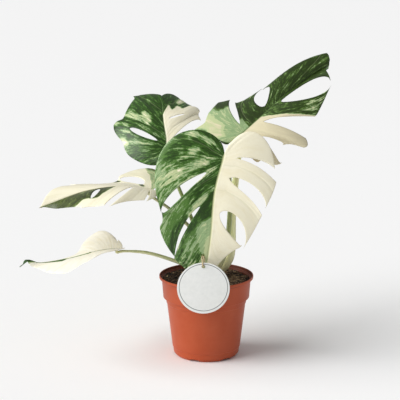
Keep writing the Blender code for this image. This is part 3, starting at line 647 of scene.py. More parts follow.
def lay_half(leaf, hand, key):
    """Grid of one half of a blade: (lobe, column, row) arrays of its points and of its BLADE_VALUES."""
    half = leaf[key]
    lobes, per_lobe = half["lobes"], COLUMNS // half["lobes"]
    lobe, inside, share = np.meshgrid(
        np.arange(lobes, dtype=float), np.arange(per_lobe + 1) / per_lobe,
        (np.arange(ROWS + 1) / ROWS) ** ROW_PACK, indexing="ij")
    low, high = lobe.copy(), lobe + 1
    for slit in half["slits"]:
        near_edge, far_edge = slit_edges(slit, share)
        low = np.where(lobe == slit[0], far_edge, low)
        high = np.where(lobe == slit[0] - 1, near_edge, high)
    ends = np.array(half["ends"]).reshape(-1, 3)[:, :, None, None]
    fill = ends[:, 0] * (1 - inside) * (1 - 2 * inside)
    fill = fill + ends[:, 1] * 4 * inside * (1 - inside) + ends[:, 2] * inside * (2 * inside - 1)
    for spot, wide, extra in half.get("points", ()):
        fill = fill + extra * np.clip(1 - np.abs(lobe + inside - spot) / wide, 0, None) ** 1.5
    reach = share * (1 + (fill - 1) * np.clip((share - 0.5) / 0.5, 0, None) ** 2)
    place = low + (high - low) * inside
    points, run = vein_points(leaf, half, hand, place, reach)
    steps = np.linalg.norm(np.diff(points, axis=1), axis=-1)
    width = steps.sum(axis=1, keepdims=True)
    beside = np.abs(inside - 0.5) * width
    middle = steps[:, :, WIDTH_ROW]
    spread = np.concatenate([np.zeros((lobes, 1)), np.cumsum(middle, axis=1)], axis=1)
    spread += np.concatenate([[0.0], np.cumsum(middle.sum(axis=1))[:-1]])[:, None]
    across = spread[:, :, None]
    tone, mottle = half_tone(half, place, share)
    if hand < 0:
        place, across = place + LEFT_PLACE, across + LEFT_ACROSS
    kept = np.broadcast_arrays(place, across, run, beside, tone, mottle, share, width)
    return points, np.stack(kept, -1)


def blade_sheet(leaf):
    """Middle surface of a blade with both halves joined on the midrib: points, quads and BLADE_VALUES."""
    points, values, quads, table = [], [], [], {}
    for hand, key in ((1, "right_hand"), (-1, "left_hand")):
        lobes, per_lobe = leaf[key]["lobes"], COLUMNS // leaf[key]["lobes"]
        slits = {slit[0]: slit[1:3] for slit in leaf[key]["slits"]}
        grid, grid_values = lay_half(leaf, hand, key)
        own = {}
        for lobe, column, row in np.ndindex(lobes, per_lobe + 1, ROWS + 1):
            edge = lobe if column == 0 else lobe + 1 if column == per_lobe else None
            at = grid_values[lobe, column, row, BLADE_VALUES.index("share")]
            start, end = slits.get(edge, (1.0, 1.0))
            parted = start < at - 1e-6 and (at < end - 1e-6 or end >= 1.0)
            if row == 0:
                mark = ("rib", lobe * per_lobe + column)
            elif edge == lobes:
                mark = ("tip", row)
            elif edge is not None and not parted:
                mark = (hand, "edge", edge, row)
            else:
                mark = (hand, lobe, column, row)
            if mark not in table:
                table[mark] = len(points)
                points.append(grid[lobe, column, row])
                values.append(grid_values[lobe, column, row])
            own[lobe, column, row] = table[mark]
        for lobe, column, row in np.ndindex(lobes, per_lobe, ROWS):
            quad = [own[lobe, column + a, row + b] for a, b in ((0, 0), (1, 0), (1, 1), (0, 1))]
            quad = [c for n, c in enumerate(quad) if c not in quad[:n]]
            if len(quad) > 2:
                quads.append(quad[::-1] if hand == 1 else quad)
    return np.array(points), quads, np.array(values)


def sheet_normals(points, quads):
    corners = np.array([q if len(q) == 4 else q + q[-1:] for q in quads])
    a, b, c, d = [points[corners[:, k]] for k in range(4)]
    facing = np.cross(c - a, d - b)
    thin = corners[:, 2] == corners[:, 3]
    facing[thin] = np.cross(b[thin] - a[thin], c[thin] - a[thin])
    normal = np.zeros_like(points)
    for k in range(4):
        np.add.at(normal, corners[:, k], facing)
    return unit(normal)


def variegated_skin(name, seed, under, rib_colour, greens):
    """Leaf skin: marbling drawn out along the side veins, from deep green through sage to ivory.

    The stored tone says which colour a sector leans to; the noise breaks it up into streaks and flecks.
    """
    material, surface = shader(name, 0.52 if under else 0.3, 0.25 if under else 0.4)
    place, over, run, beside, tone, mottle = [stored(surface, key) for key in SKIN_VALUES]

    def drawn_out(across, along, detail, rough, twist):
        """Noise stretched along the side veins: features per millimetre across them and along them."""
        return noise_on(combined(times(over, across), times(run, along), seed), 1.0, detail, rough, twist)

    def spread(value, gain):
        return times(reckon(value, -0.5), gain)

    sector = drawn_out(0.04, 0.008, 2.0, 0.5, 0.0)
    cloud = drawn_out(0.15, 0.045, 4.0, 0.55, 0.3)
    streak = drawn_out(0.42, 0.085, 5.0, 0.62, 0.3)
    fleck = noise_on(object_place(surface), 340.0, 3.0, 0.65)
    uneven = reckon(spread(cloud, 1.7), spread(streak, 1.6))
    uneven = reckon(reckon(uneven, spread(fleck, 0.55)), spread(sector, 0.5))
    level = reckon(tone, times(uneven, mottle))
    if under:
        stops = ((0.10, UNDER_GREEN), (0.40, UNDER_GREEN), (0.50, UNDER_SAGE),
                 (0.64, UNDER_CREAM), (1.0, UNDER_BEIGE))
    else:
        deep, leaf_green, mid, pale = greens
        stops = ((0.00, deep), (0.21, leaf_green), (0.33, mid), (0.43, mid), (0.455, SAGE),
                 (0.57, SAGE), (0.60, PALE_MARBLE), (0.80, PALE_MARBLE), (0.86, pale), (1.0, pale))
    shade = remap(drawn_out(0.9, 0.2, 3.0, 0.6, 0.2), 0.3, 0.7, 0.72, 1.22)
    shade = add_node(level.id_data, "ShaderNodeMix", {
        "Factor": remap(level, 0.45, 0.7), "A": shade, "B": 1.0}).outputs["Result"]
    skin = add_node(level.id_data, "ShaderNodeVectorMath", {
        0: colour_band(level, stops), "Scale": shade}, operation="SCALE").outputs["Vector"]
    warm = times(remap(cloud, 0.45, 0.8, 0.0, 0.6), remap(level, 0.75, 0.9))
    skin = tint(skin, warm, WARM_IVORY)
    skin = tint(skin, remap(beside, 0.1, 0.6, 0.2, 0.0), PALE_MARBLE)
    skin = tint(skin, remap(run, 0.6, 1.8, 0.75, 0.0), rib_colour)
    paint(surface, skin)
    ribs = reckon(times(place, math.tau * 6), operation="SINE")
    height = reckon(reckon(times(ribs, 0.14), times(streak, 0.9)), times(fleck, 0.5))
    grain_bump(surface, height, 0.0005, 0.4)
    return material


def grow_leaf(name, leaf, seed, quilt=1.0, rib_colour=RIB_PALE, greens=GREENS, tie_hole=None):
    """A blade: quilted between its side veins, ridged under the midrib, with a paler underside."""
    points, quads, values = blade_sheet(leaf)
    at = dict(zip(BLADE_VALUES, values.T))
    normal = sheet_normals(points, quads)
    rib_line = rib_frame(leaf, np.linspace(0, 1, RIB_MARKS))[0]
    away = np.linalg.norm(points[:, None, :] - rib_line[None, :, :], axis=-1)
    from_rib, along_rib = away.min(axis=1), away.argmin(axis=1) / (RIB_MARKS - 1)
    grown = quilt * soft_step(from_rib, QUILT_FROM, QUILT_FULL)
    pillow = -0.5 * np.cos(math.tau * np.clip(at["beside"] / (at["width"] + 1e-6), 0, 0.5))
    puff = QUILT_HIGH * grown * np.clip(at["width"] / QUILT_WIDE, 0.2, 1.0) * pillow
    puff -= FURROW_DEEP * grown * hump(at["beside"], 0.0, FURROW_WIDE)
    puff += WAVE_HIGH * at["share"]**3 * grown * np.sin(at["place"] * WAVE_TURNS + seed)
    rib_wide = RIB_WIDE - RIB_NARROWS * along_rib
    crease = -CREASE_DEEP * hump(from_rib, 0.0, 0.8 * rib_wide)
    crease += SHOULDER_HIGH * hump(from_rib, SHOULDER_OUT, SHOULDER_WIDE)
    keel = KEEL_DEEP * (1 - KEEL_FADES * along_rib) * hump(from_rib, 0.0, rib_wide)
    half_thick = BLADE_THICK / 2 * (1 - RIM_THINS * soft_step(at["share"], RIM_FROM, 1.0))
    top = points + normal * (puff + crease + half_thick)[:, None]
    under = points + normal * (puff + crease * 0.3 - half_thick - keel)[:, None]
    count = len(points)
    faces = [tuple(q) for q in quads] + [tuple(c + count for c in q[::-1]) for q in quads]
    sides = {(a, b): True for q in quads for a, b in zip(q, q[1:] + q[:1])}
    rim = [(b, a, a + count, b + count) for a, b in sides if (b, a) not in sides]
    skins = [variegated_skin(name + ending, seed, under_side, rib_colour, greens)
             for ending, under_side in (("_skin", False), ("_underside", True))]
    blade = make_piece(name, np.vstack([top, under]), faces + rim, skins)
    index = [0] * len(quads) + [1] * len(quads) + [0] * len(rim)
    blade.data.polygons.foreach_set("material_index", index)
    for key in SKIN_VALUES:
        keep_value(blade, key, np.tile(at[key], 2))
    if tie_hole:
        cutter = make_piece("tie_hole_cutter", *round_bar_along_y(*tie_hole), [])
        cut_out(blade, [cutter])
    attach(blade, "root")
    return blade


def round_bar_along_y(x, z, near, far, radius, sides):
    """Bar along Y that cuts a round hole at x, z."""
    points = [(x + radius * math.cos(a), y, z + radius * math.sin(a))
              for y in (near, far) for a in (math.tau * k / sides for k in range(sides))]
    return points, bar_faces(sides)


def grow_stalk(name, leaf, middle, radii, skin, shape=None, brown=None):
    """A leaf stalk that tapers upwards, swells at the joint and ends square on the back of its blade."""
    root, _, _, up = rib_frame(leaf, np.array(STALK_MEETS))
    top = root - up * (BLADE_THICK / 2 + STALK_GAP)
    points = list(middle) + [tuple(top - up * 4), tuple(top)]
    widths = tuple(radii) + (radii[-1],) * (len(points) - len(radii))
    share = np.linspace(0, 1, STALK_STEPS)
    line, wide = smooth_curve(share, points), smooth_curve(share, widths) * STALK_SLIM
    run = run_along(line)
    left = run[-1] - run
    joint, waist = hump(left, JOINT_FROM_END, JOINT_LONG), hump(left, WAIST_FROM_END, WAIST_LONG)
    wide = wide * (1 + JOINT_SWELLS * joint - WAIST_THINS * waist)
    return finish_tube(name, line, wide, STALK_SIDES, stalk_skin(name + "_skin", *skin), shape,
                       end_along=up, brown=brown)


TIE_X, TIE_Y, TIE_Z, TIE_HOLE_R, TIE_HOLE_SIDES = -4.3, -43.5, 139.6, 2.1, 24
front_blade = grow_leaf("front_leaf", front_leaf, 1.7,
                        tie_hole=(TIE_X, TIE_Z, TIE_Y - 6, TIE_Y + 6, TIE_HOLE_R, TIE_HOLE_SIDES))
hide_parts("leaf_front")
front_stalk = grow_stalk(
    "front_stalk", front_leaf,
    ((9, -6, 86), (10, -6, 104), (22, -5, 130), (28, -3, 160), (30, 0, 205), (27, 0, 250)),
    (4.0, 4.0, 3.8, 3.4, 2.8, 2.4, 2.4), (STALK_GREEN, STALK_LIGHT, 0.9))
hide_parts("stalk_front")

# Upper right leaf and its stalk: the newest and largest leaf, its tip lobe solid green, its near side
# cream and drooping. Its stalk is thick because the lower half is a clasping sheath with a dried edge.
RIB_GREEN, CREAM = (0.12, 0.20, 0.06), (0.70, 0.635, 0.43)
GREENS_DARK = ((0.021, 0.042, 0.004), (0.036, 0.078, 0.009), (0.10, 0.18, 0.036), CREAM)
upper_right_leaf = dict(
    rib=((42, 24, 279), (72, 55, 300), (109, 88, 327), (160, 122, 351)),
    face=((0.0, -0.5, 0.87), (0.0, -0.45, 0.9), (0.1, -0.35, 0.95)),
    roots=ROOTS,
    right_hand=dict(
        lobes=4, tone=1.5,
        angle=(140, 115, 78, 77, 53, 61, 43, 14, 0), sweep=(22, 21, 22, 16, 18, 16, 18, 17, 0),
        reach=(10, 62, 66, 81, 51, 74, 76, 48, 3),
        lift=(13, -3, 16, 21, 22, 22, 22, 21, 20), droop=(62, 66, 57, 52, 48, 42, 35, 28, 11),
        ends=(0.99, 1.0, 1.0, 0.84, 0.99, 1.05, 1.02, 0.95, 1.03, 1.01, 0.99, 1.0),
        points=((0.25, 0.2, -0.12), (0.5, 0.3, -0.5), (0.75, 0.24, -0.48)),
        slits=(
            (1, 0.4, 1.0, 0.06, 0.1, -0.1),
            (2, 0.3, 1.0, 0.007, 0.38, 0.026),
            (3, 0.12, 1.0, 0.203, 0.025, 0.025),
        ),
        patches=(
            (2.42, 4.2, -0.1, 1.2, 0.18, 1.0), (2.55, 3.0, 0.68, 0.98, 0.4, 1.3),
            (2.9, 4.2, -0.1, 1.2, 0.1, 0.8),
        ),
    ),
    left_hand=dict(
        lobes=3, tone=0.09,
        angle=(172, 118, 64, 72, 52, 20, 0), sweep=(15, 18, 29, 31, 40, 25, 0),
        reach=(19, 54, 76, 58, 54, 71, 3),
        lift=(2, 5, 3, 3, 7, 13, 20), droop=(30, 21, 20, 19, 14, 8, 11),
        ends=(1.0, 0.9, 1.02, 0.97, 0.98, 1.03, 0.93, 1.05, 1.0),
        points=(
            (0.25, 0.25, -0.22), (0.5, 0.15, 0.33), (0.75, 0.14, 0.06), (0.875, 0.14, 0.15),
            (2.55, 0.12, 0.1), (2.8, 0.2, -0.06),
        ),
        slits=((1, 0.2, 1.0, 0.014, 0.2, 0.167), (2, 0.2, 1.0, 0.13, 0.015, -0.11)),
        patches=(
            (-0.1, 1.05, -0.1, 1.2, 0.56, 0.15), (1.0, 1.35, -0.1, 0.33, 0.56, 0.2),
            (0.35, 0.68, 0.45, 1.2, 0.83, 0.12), (0.8, 1.05, 0.8, 1.2, 0.0, 0.6),
            (-0.1, 0.5, 0.8, 1.2, 0.05, 0.5),
        ),
    ),
)
SHEATH_EDGE, SHEATH_HIGH, SHEATH_FADES = 4.3, 125, (0.55, 0.72)
# Both sheath colours are its own pale yellow-green made lighter still as painted light, so the sheath looks
# lit where the front leaf shades it.
SHEATH_OLIVE_PAINTED_LIGHT, SHEATH_PALE_PAINTED_LIGHT = (0.80, 0.83, 0.30), (0.93, 0.95, 0.55)


def sheath_form(share, turn):
    """A clasping sheath: one overlapping lip with a groove beside it, fading out two thirds up."""
    fade = 1 - soft_step(share, *SHEATH_FADES)
    return 1 + fade * (0.08 * hump(turn, SHEATH_EDGE, 0.16) - 0.06 * hump(turn, SHEATH_EDGE + 0.42, 0.22))


def sheath_dried(run, turn):
    return np.clip(hump(turn, SHEATH_EDGE + 0.1, 0.16) * (run < SHEATH_HIGH) * 0.85, 0, 1)


upper_right_blade = grow_leaf("upper_right_leaf", upper_right_leaf, 4.2, 1.0, RIB_GREEN, GREENS_DARK)
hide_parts("leaf_upper_right")
upper_right_stalk = grow_stalk(
    "upper_right_stalk", upper_right_leaf,
    ((14, 12, 86), (14, 12, 97), (16, 12, 106), (25, 11, 118), (31, 10, 136), (33, 12, 190), (42, 27, 255)),
    (6.8, 6.8, 7.3, 7.8, 6.8, 5.6, 3.2, 2.3), (SHEATH_OLIVE_PAINTED_LIGHT, SHEATH_PALE_PAINTED_LIGHT, 0.9), sheath_form, sheath_dried)
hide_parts("stalk_upper_right")

# Upper left leaf and its stalk: a steep blade seen almost end on, green and marbled outside, cream inside.
# It has grown in one with a slim green stalk that leans out of the soil to the left.
ROOTS_TIGHT = (0.0, 0.05, 0.13, 0.22, 0.33, 0.45, 0.6, 0.8, 1.0)
STALK_DULL = (0.30, 0.37, 0.13)
upper_left_leaf = dict(
    rib=((-52, 14, 252), (-51, 32, 272), (-55, 56, 293), (-58, 92, 318)),
    face=((0.0, -0.75, 0.6), (0.0, -0.7, 0.7), (0.0, -0.4, 0.9)),
    roots=ROOTS_TIGHT,
    right_hand=dict(
        lobes=3, tone=1.5,
        angle=(149, 97, 39, 40, 34, 18, 0), sweep=(25, 13, 2, -5, -8, -4, 0),
        reach=(9, 48, 76, 77, 62, 47, 4),
        lift=(0, 2, 4), droop=(35, 39, 30),
        ends=(1.0, 0.98, 1.02, 0.94, 1.0, 1.01, 1.01, 1.06, 1.0),
        points=((2.125, 0.14, -0.06), (2.375, 0.2, 0.03)),
        slits=((1, 0.15, 1.0, 0.07, 0.035, -0.06), (2, 0.22, 0.6, 0.055, 0.0, -0.38)),
        patches=(
            (2.4, 3.2, -0.1, 1.2, 0.1, 0.8), (2.15, 2.5, 0.42, 1.2, 0.1, 0.8),
            (1.88, 2.3, 0.7, 1.2, 0.1, 0.8), (2.14, 2.3, 0.72, 1.2, 0.85, 0.3),
        ),
    ),
    left_hand=dict(
        lobes=3, tone=0.13,
        angle=(156, 118, 63, 50, 34, 38, 0), sweep=(22, 3, 0, 5, 14, 7, 0),
        reach=(9, 32, 76, 71, 74, 56, 4),
        lift=(9, 10, 4), droop=(40, 39, 30),
        ends=(1.0, 1.0, 1.0, 1.0, 0.98, 0.98, 1.02, 1.02, 1.0),
        points=((0.8, 0.15, -0.13), (1.0, 0.4, 0.08), (2.2, 0.2, 0.04), (2.6, 0.3, -0.05)),
        slits=((1, 0.17, 0.7, 0.075, 0.0, 0.03),),
        patches=(
            (1.52, 1.72, 0.35, 1.2, 0.54, 0.9), (1.68, 1.88, 0.33, 0.58, 0.68, 0.7),
            (1.05, 1.18, 0.74, 1.2, 0.48, 0.9), (0.79, 0.87, 0.25, 0.8, 0.54, 0.6),
            (0.79, 0.87, 0.82, 1.2, 0.84, 0.4), (0.7, 0.73, 0.4, 1.2, 0.6, 0.7),
            (2.1, 3.2, 0.3, 1.2, 0.06, 0.9),
        ),
    ),
)
upper_left_blade = grow_leaf("upper_left_leaf", upper_left_leaf, 7.9, rib_colour=RIB_GREEN)
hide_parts("leaf_upper_left")
upper_left_stalk = grow_stalk(
    "upper_left_stalk", upper_left_leaf,
    ((-4, 25, 86), (-3, 25, 116), (-8, 21, 142), (-19, 17, 174), (-33, 19, 208), (-47, 24, 241)),
    (3.6, 3.4, 3.0, 2.6, 2.4, 2.2), (STALK_GREEN, STALK_DULL, 0.5))
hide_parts("stalk_upper_left")

# Middle left leaf and its stalk: a blade held out flat to the left, cream behind and green in front.
# It has grown in one with its pale stalk, which rises behind the front leaf and bends over to the left.
LEVEL_FACE = ((0.0, -0.05, 1.0), (0.0, -0.05, 1.0), (0.0, -0.1, 1.0))
RIB_TAN = (0.42, 0.38, 0.20)
GREENS_OLIVE = ((0.035, 0.050, 0.009), (0.075, 0.105, 0.021), (0.125, 0.160, 0.040), IVORY)
STALK_OLIVE, STALK_STRAW = (0.24, 0.30, 0.10), (0.62, 0.62, 0.38)
middle_left_leaf = dict(
    rib=((-68, 2, 214), (-103, -4, 220), (-152, -12, 215), (-206, -20, 196)),
    face=LEVEL_FACE,
    roots=ROOTS,
    right_hand=dict(
        lobes=4, tone=1.5,
        angle=(134, 105, 77, 72, 68, 60, 42, 22, 0), sweep=(24, 21, 22, 20, 19, 18, 19, 16, 0),
        reach=(18, 65, 68, 63, 69, 68, 54, 34, 3),
        lift=(18, 11, 2, -4, -6, -2, 7, 17, 14), droop=(-4, 2, 8, 12, 15, 14, 10, 6, 13),
        ends=(1.0, 1.06, 0.97, 0.97, 0.97, 0.99, 1.01, 0.98, 0.98, 0.99, 1.02, 1.0),
        slits=((1, 0.28, 0.95, 0.31, 0.0, 0.2), (3, 0.72, 1.0, 0.015, 0.09, -0.05)),
        patches=(
            (-0.1, 0.6, -0.1, 1.2, 0.62, 0.3), (-0.1, 0.55, 0.9, 1.2, 0.3, 0.5),
            (1.0, 1.35, 0.14, 0.32, 0.0, 0.2), (1.4, 1.65, 0.85, 1.2, 0.0, 0.2),
        ),
    ),
    left_hand=dict(
        lobes=4, tone=1.5,
        angle=(141, 107, 90, 77, 68, 60, 52, 26, 0), sweep=(21, 21, 21, 21, 19, 20, 20, 16, 0),
        reach=(4, 28, 46, 59, 75, 65, 54, 31, 3),
        lift=(15, 14, 12, 11, 9, 7, 6, 4, 14), droop=(31, 33, 36, 38, 38, 36, 32, 28, 13),
        ends=(1.0, 0.98, 1.04, 0.97, 0.96, 1.04, 0.97, 0.98, 1.04, 1.01, 1.0, 1.0),
        slits=(
            (1, 0.2, 1.0, 0.02, 0.044, 0.01),
            (2, 0.12, 1.0, 0.058, 0.096, 0.042),
            (3, 0.12, 0.7, 0.07, 0.0, -0.2),
        ),
        patches=((2.62, 4.2, -0.1, 0.72, 0.16, 0.7), (2.95, 4.2, 0.65, 1.2, 0.16, 0.7)),
    ),
)
middle_left_blade = grow_leaf("middle_left_leaf", middle_left_leaf, 11.3, 0.3, RIB_TAN, GREENS_OLIVE)
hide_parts("leaf_mid_left")
middle_left_stalk = grow_stalk(
    "middle_left_stalk", middle_left_leaf,
    ((3, 18, 86), (3, 18, 100), (5, 16, 118), (-2, 12, 142), (-24, 6, 168), (-47, 1, 190), (-64, 1, 202)),
    (3.3, 3.3, 3.1, 2.7, 2.4, 2.1, 2.0), (STALK_OLIVE, STALK_STRAW, 0.9))
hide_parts("stalk_mid_left")

# Low left leaf and its stalk: the smallest and oldest leaf, nearly all ivory, with a green midrib and tip.
# It has grown in one with a thin yellow-green stalk that leans far out over the rim of the pot.
LOW_LEFT_GREEN = ((3.7, 4.2, -0.1, 1.2, 0.15, 0.6), (2.5, 3.8, -0.1, 0.09, 0.4, 0.6),
                  (3.15, 3.8, -0.1, 0.26, 0.2, 0.6))
GREENS_PALE = (DEEP_GREEN, LEAF_GREEN, MID_GREEN, (0.96, 0.93, 0.80))
STALK_LIME, STALK_YELLOW = (0.40, 0.45, 0.17), (0.72, 0.74, 0.42)
low_left_leaf = dict(
    rib=(
        (-109, -12, 141), (-123, -14, 140.5), (-139, -17, 138.5), (-161, -21, 133.5),
        (-184, -25, 129), (-208, -29, 127), (-221, -31.5, 131), (-231, -34, 125),
    ),
    face=LEVEL_FACE,
    roots=ROOTS,
    right_hand=dict(
        lobes=4, tone=1.5,
        angle=(157, 125, 104, 94, 83, 63, 44, 27, 0), sweep=(20, 21, 20, 18, 17, 19, 21, 15, 0),
        reach=(4, 12, 34, 72, 58, 26, 12, 8, 3),
        lift=(21, 19, 16, 14, 12, 10, 9, 8, 4), droop=(15, 17, 20, 22, 23, 23, 23, 22, 24),
        ends=(1.0, 1.0, 0.98, 1.0, 1.02, 1.0, 0.98, 0.97, 0.99, 1.0, 0.99, 1.0),
        slits=((1, 0.6, 1.0, 0.02, 0.07, 0.0),),
        patches=LOW_LEFT_GREEN,
    ),
    left_hand=dict(
        lobes=4, tone=1.5,
        angle=(145, 108, 82, 76, 70, 66, 54, 28, 0), sweep=(20, 21, 22, 21, 21, 20, 18, 16, 0),
        reach=(6, 24, 50, 66, 66, 60, 44, 20, 3),
        lift=(26, 23, 20, 17, 14, 11, 7, 4, 4), droop=(12, 14, 16, 18, 20, 22, 24, 25, 24),
        ends=(1.0, 1.0, 0.99, 1.0, 1.0, 0.99, 1.01, 1.01, 1.0, 1.01, 0.99, 1.0),
        slits=(),
        patches=LOW_LEFT_GREEN,
    ),
)
low_left_blade = grow_leaf("low_left_leaf", low_left_leaf, 15.1, 0.15, LEAF_GREEN, GREENS_PALE)
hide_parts("leaf_low_left")
low_left_stalk = grow_stalk(
    "low_left_stalk", low_left_leaf,
    ((-9, -1, 86), (-10, -1, 102), (-20, 0, 113), (-46, 0, 124), (-76, -5, 134), (-103, -11, 137.5)),
    (3.2, 3.0, 2.7, 2.4, 2.2, 1.6), (STALK_LIME, STALK_YELLOW, 0.3))
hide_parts("stalk_low_left")

# Round tag: a die-cut disc of grey-white board with one thin printed ring near its edge. It hangs from
# a punched hole at its top and rests against the front of the pot.
TAG_R, TAG_THICK, TAG_X, TAG_Z, TAG_FRONT_Y = 32.5, 1.2, -3.8, 103.4, -61.8
TAG_HOLE_R, TAG_HOLE_Z, TAG_HOLE_SIDES = 2.2, 131.0, 32
TAG_SIDES, TAG_SHARP, TAG_EASE = 128, 50, 0.35
RING_R, RING_WIDE, RING_RISE = 29.8, 0.75, 0.8
BOARD_GREY, BOARD_LIGHT, RING_GREY = (0.80, 0.815, 0.79), (0.87, 0.88, 0.855), (0.13, 0.145, 0.15)


def tag_board():
    """Uncoated board: soft pulp mottling and fibre grain, with the ring drawn by distance from its middle."""
    material, surface = shader("tag_board", 0.68)
    where = object_place(surface)
    pulp = noise_on(where, 160.0, 5.0, 0.65)
    board = colour_band(pulp, ((0.3, BOARD_GREY), (0.7, BOARD_LIGHT)))
    x, _, z = split_xyz(where)
    off = distance(reckon(x, -TAG_X * MM), reckon(z, -(TAG_Z + RING_RISE) * MM))
    off = reckon(reckon(off, -RING_R * MM), operation="ABSOLUTE")
    ring = times(remap(off, RING_WIDE * 0.4 * MM, RING_WIDE * 0.7 * MM, 1.0, 0.0), reckon(pulp, 0.45))
    paint(surface, tint(board, ring, RING_GREY))
    grain_bump(surface, noise_on(where, 700.0, 6.0, 0.7), 0.0002, 0.5)
    return material


tag_profile = eased_corners(((0.0, 0.0), (TAG_R, 0.0), (TAG_R, TAG_THICK), (0.0, TAG_THICK)), TAG_EASE)
tag_points, tag_faces = turned_body(tag_profile, TAG_SIDES)
tag_points = [(TAG_X + x, TAG_FRONT_Y + z, TAG_Z + y) for x, y, z in tag_points]
round_tag = make_piece("round_tag", tag_points, tag_faces, [tag_board()])
tag_hole = round_bar_along_y(
    TAG_X, TAG_HOLE_Z, TAG_FRONT_Y - 3, TAG_FRONT_Y + TAG_THICK + 3, TAG_HOLE_R, TAG_HOLE_SIDES)
hole = make_piece("tag_hole_cutter", *tag_hole, [], smooth=False)
cut_out(round_tag, [hole])
round_tag.data.set_sharp_from_angle(angle=math.radians(TAG_SHARP))
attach(round_tag, "root")
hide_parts("tag")

# Tag twine: one closed loop of two-strand jute, through the tag's hole and through a small hole in the
# front leaf, held by its knot behind the blade.
TWINE_R, TWINE_TURNS, TWINE_STEPS = 0.9, 26, 420
STRAND_SIDES, STRAND_OUT, STRAND_R = 10, 0.42, 0.60
KNOT_STEPS, KNOT_R, KNOT_BEHIND, KNOT_BELOW = 60, 0.6, 4.6, 3.6
KNOT_WIDE, KNOT_DEEP, KNOT_TALL, KNOT_OPEN = 1.9, 0.9, 1.7, 0.7
JUTE_DARK, JUTE_PALE = (0.30, 0.205, 0.105), (0.72, 0.58, 0.37)
tag_back = TAG_FRONT_Y + TAG_THICK
twine_loop = (
    (TIE_X, TIE_Y + 4.0, TIE_Z - 2.0),
    (TIE_X - 0.85, TIE_Y, TIE_Z - 0.9),
    (TIE_X - 1.2, TIE_Y - 8.0, TIE_Z - 1.6),
    (TAG_X - 1.2, tag_back + 0.5, TAG_HOLE_Z + 7.0),
    (TAG_X - 1.0, TAG_FRONT_Y - 1.9, TAG_HOLE_Z + 4.0),
    (TAG_X - 0.4, TAG_FRONT_Y - 1.8, TAG_HOLE_Z + 0.6),
    (TAG_X, TAG_FRONT_Y + TAG_THICK / 2, TAG_HOLE_Z - 0.4),
    (TAG_X + 0.4, tag_back + 1.8, TAG_HOLE_Z + 0.6),
    (TAG_X + 1.2, tag_back + 2.4, TAG_HOLE_Z + 4.0),
    (TIE_X + 1.2, TIE_Y - 8.0, TIE_Z - 2.0),
    (TIE_X + 0.85, TIE_Y, TIE_Z - 0.9),
)


def jute():
    """Hairy two-ply jute: pale fibres over darker hollows, with a lengthwise grain."""
    material, surface = shader("jute", 0.85)
    where = object_place(surface)
    fibre = noise_on(where, 2600.0, 4.0, 0.7)
    level = reckon(times(fibre, 0.6), times(noise_on(where, 260.0, 2.0), 0.4))
    paint(surface, colour_band(level, ((0.36, JUTE_DARK), (0.56, JUTE_PALE))))
    grain_bump(surface, fibre, 0.0003, 0.8)
    return material


def closed_curve(middle, steps):
    """Even steps round a closed smooth curve."""
    path = np.vstack([middle[-1:], middle, middle[:2]])
    inner = len(path) - 1
    fine = smooth_curve((1 + np.arange(steps * 4) / (steps * 4) * len(middle)) / inner, path)
    ring = np.vstack([fine, fine[:1]])
    run = run_along(ring)
    return point_at(np.linspace(0, run[-1], steps, endpoint=False), run, ring)


core = closed_curve(np.array(twine_loop), TWINE_STEPS)
leads, others = carried_sides(directions_round(core), np.array([1.0, 0.0, 0.0]))
strand_points, strand_faces = [], []
for strand_start in (0, math.pi):
    spin = math.tau * TWINE_TURNS * np.arange(len(core)) / len(core) + strand_start
    line = core + STRAND_OUT * TWINE_R * (np.cos(spin)[:, None] * leads + np.sin(spin)[:, None] * others)
    strand = grow_tube(line, np.full(len(core), STRAND_R * TWINE_R), STRAND_SIDES, closed=True)
    join_on(strand_points, strand_faces, *strand[:2])
knot_turn = np.linspace(0, math.tau, KNOT_STEPS, endpoint=False)
knot_line = np.stack([
    TIE_X + KNOT_WIDE * (np.sin(knot_turn) + KNOT_OPEN * np.sin(2 * knot_turn)),
    TIE_Y + KNOT_BEHIND + KNOT_DEEP * np.sin(3 * knot_turn),
    TIE_Z - KNOT_BELOW + KNOT_TALL * (np.cos(knot_turn) - KNOT_OPEN * np.cos(2 * knot_turn))], -1)
knot = grow_tube(knot_line, np.full(KNOT_STEPS, KNOT_R), STRAND_SIDES, closed=True)
join_on(strand_points, strand_faces, *knot[:2])
tag_twine = make_piece("tag_twine_loop", strand_points, strand_faces, [jute()])
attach(tag_twine, "root")
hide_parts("tag_twine")

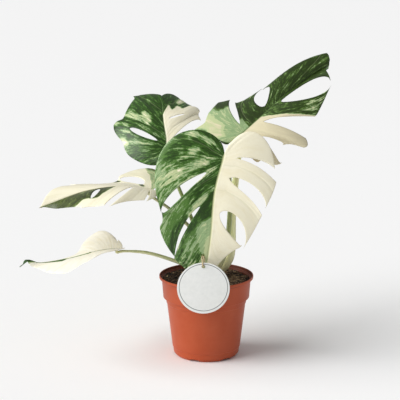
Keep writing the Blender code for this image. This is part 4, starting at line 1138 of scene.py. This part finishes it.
# Studio: a wide pale floor, one broad soft light from high on the left, a bright even surround, and a
# long lens a little above the pot.
FLOOR_PALE = (0.98, 0.98, 0.98)
KEY_FROM, KEY_STRENGTH, KEY_SPREAD = (-0.96, -0.25, 0.67), 3.5, 58
SURROUND_WHITE, SURROUND_STRENGTH = (1.0, 1.0, 1.0, 1.0), 0.335
FLOOR_LEFT, FLOOR_RIGHT, FLOOR_NEAR, FLOOR_FAR, FLOOR_DROP = -9000, 9000, -6000, 12000, 0.2
LENS_MM, SENSOR_MM = 124.3, 36.0
CAMERA_PLACE, CAMERA_DOWN = (-0.008, -1.70, 0.575), 12.4
floor_material, floor_surface = shader("pale_floor", 0.8)
floor_surface.inputs["Base Color"].default_value = (*FLOOR_PALE, 1.0)
floor_corners = ((FLOOR_LEFT, FLOOR_NEAR, 0), (FLOOR_RIGHT, FLOOR_NEAR, 0),
                 (FLOOR_RIGHT, FLOOR_FAR, 0), (FLOOR_LEFT, FLOOR_FAR, 0))
floor = make_piece("studio_floor", floor_corners, [(0, 1, 2, 3)], [floor_material], smooth=False,
                   closed=False)
floor.location.z = -FLOOR_DROP * MM

key = bpy.data.objects.new("window_light", bpy.data.lights.new("window_light", "SUN"))
key.data.energy = KEY_STRENGTH
key.data.angle = math.radians(KEY_SPREAD)
key.rotation_euler = (-Vector(KEY_FROM)).to_track_quat("-Z", "Y").to_euler()
bpy.context.scene.collection.objects.link(key)
surround = bpy.data.worlds.new("pale_surround")
surround.use_nodes = True
background = surround.node_tree.nodes["Background"]
background.inputs["Color"].default_value = SURROUND_WHITE
background.inputs["Strength"].default_value = SURROUND_STRENGTH
bpy.context.scene.world = surround
bpy.context.scene.view_settings.view_transform = "Standard"

camera = bpy.data.objects.new("studio_camera", bpy.data.cameras.new("studio_camera"))
camera.data.lens = LENS_MM
camera.data.sensor_width = SENSOR_MM
camera.location = CAMERA_PLACE
camera.rotation_euler = (math.radians(90 - CAMERA_DOWN), 0.0, 0.0)
bpy.context.scene.collection.objects.link(camera)
bpy.context.scene.camera = camera
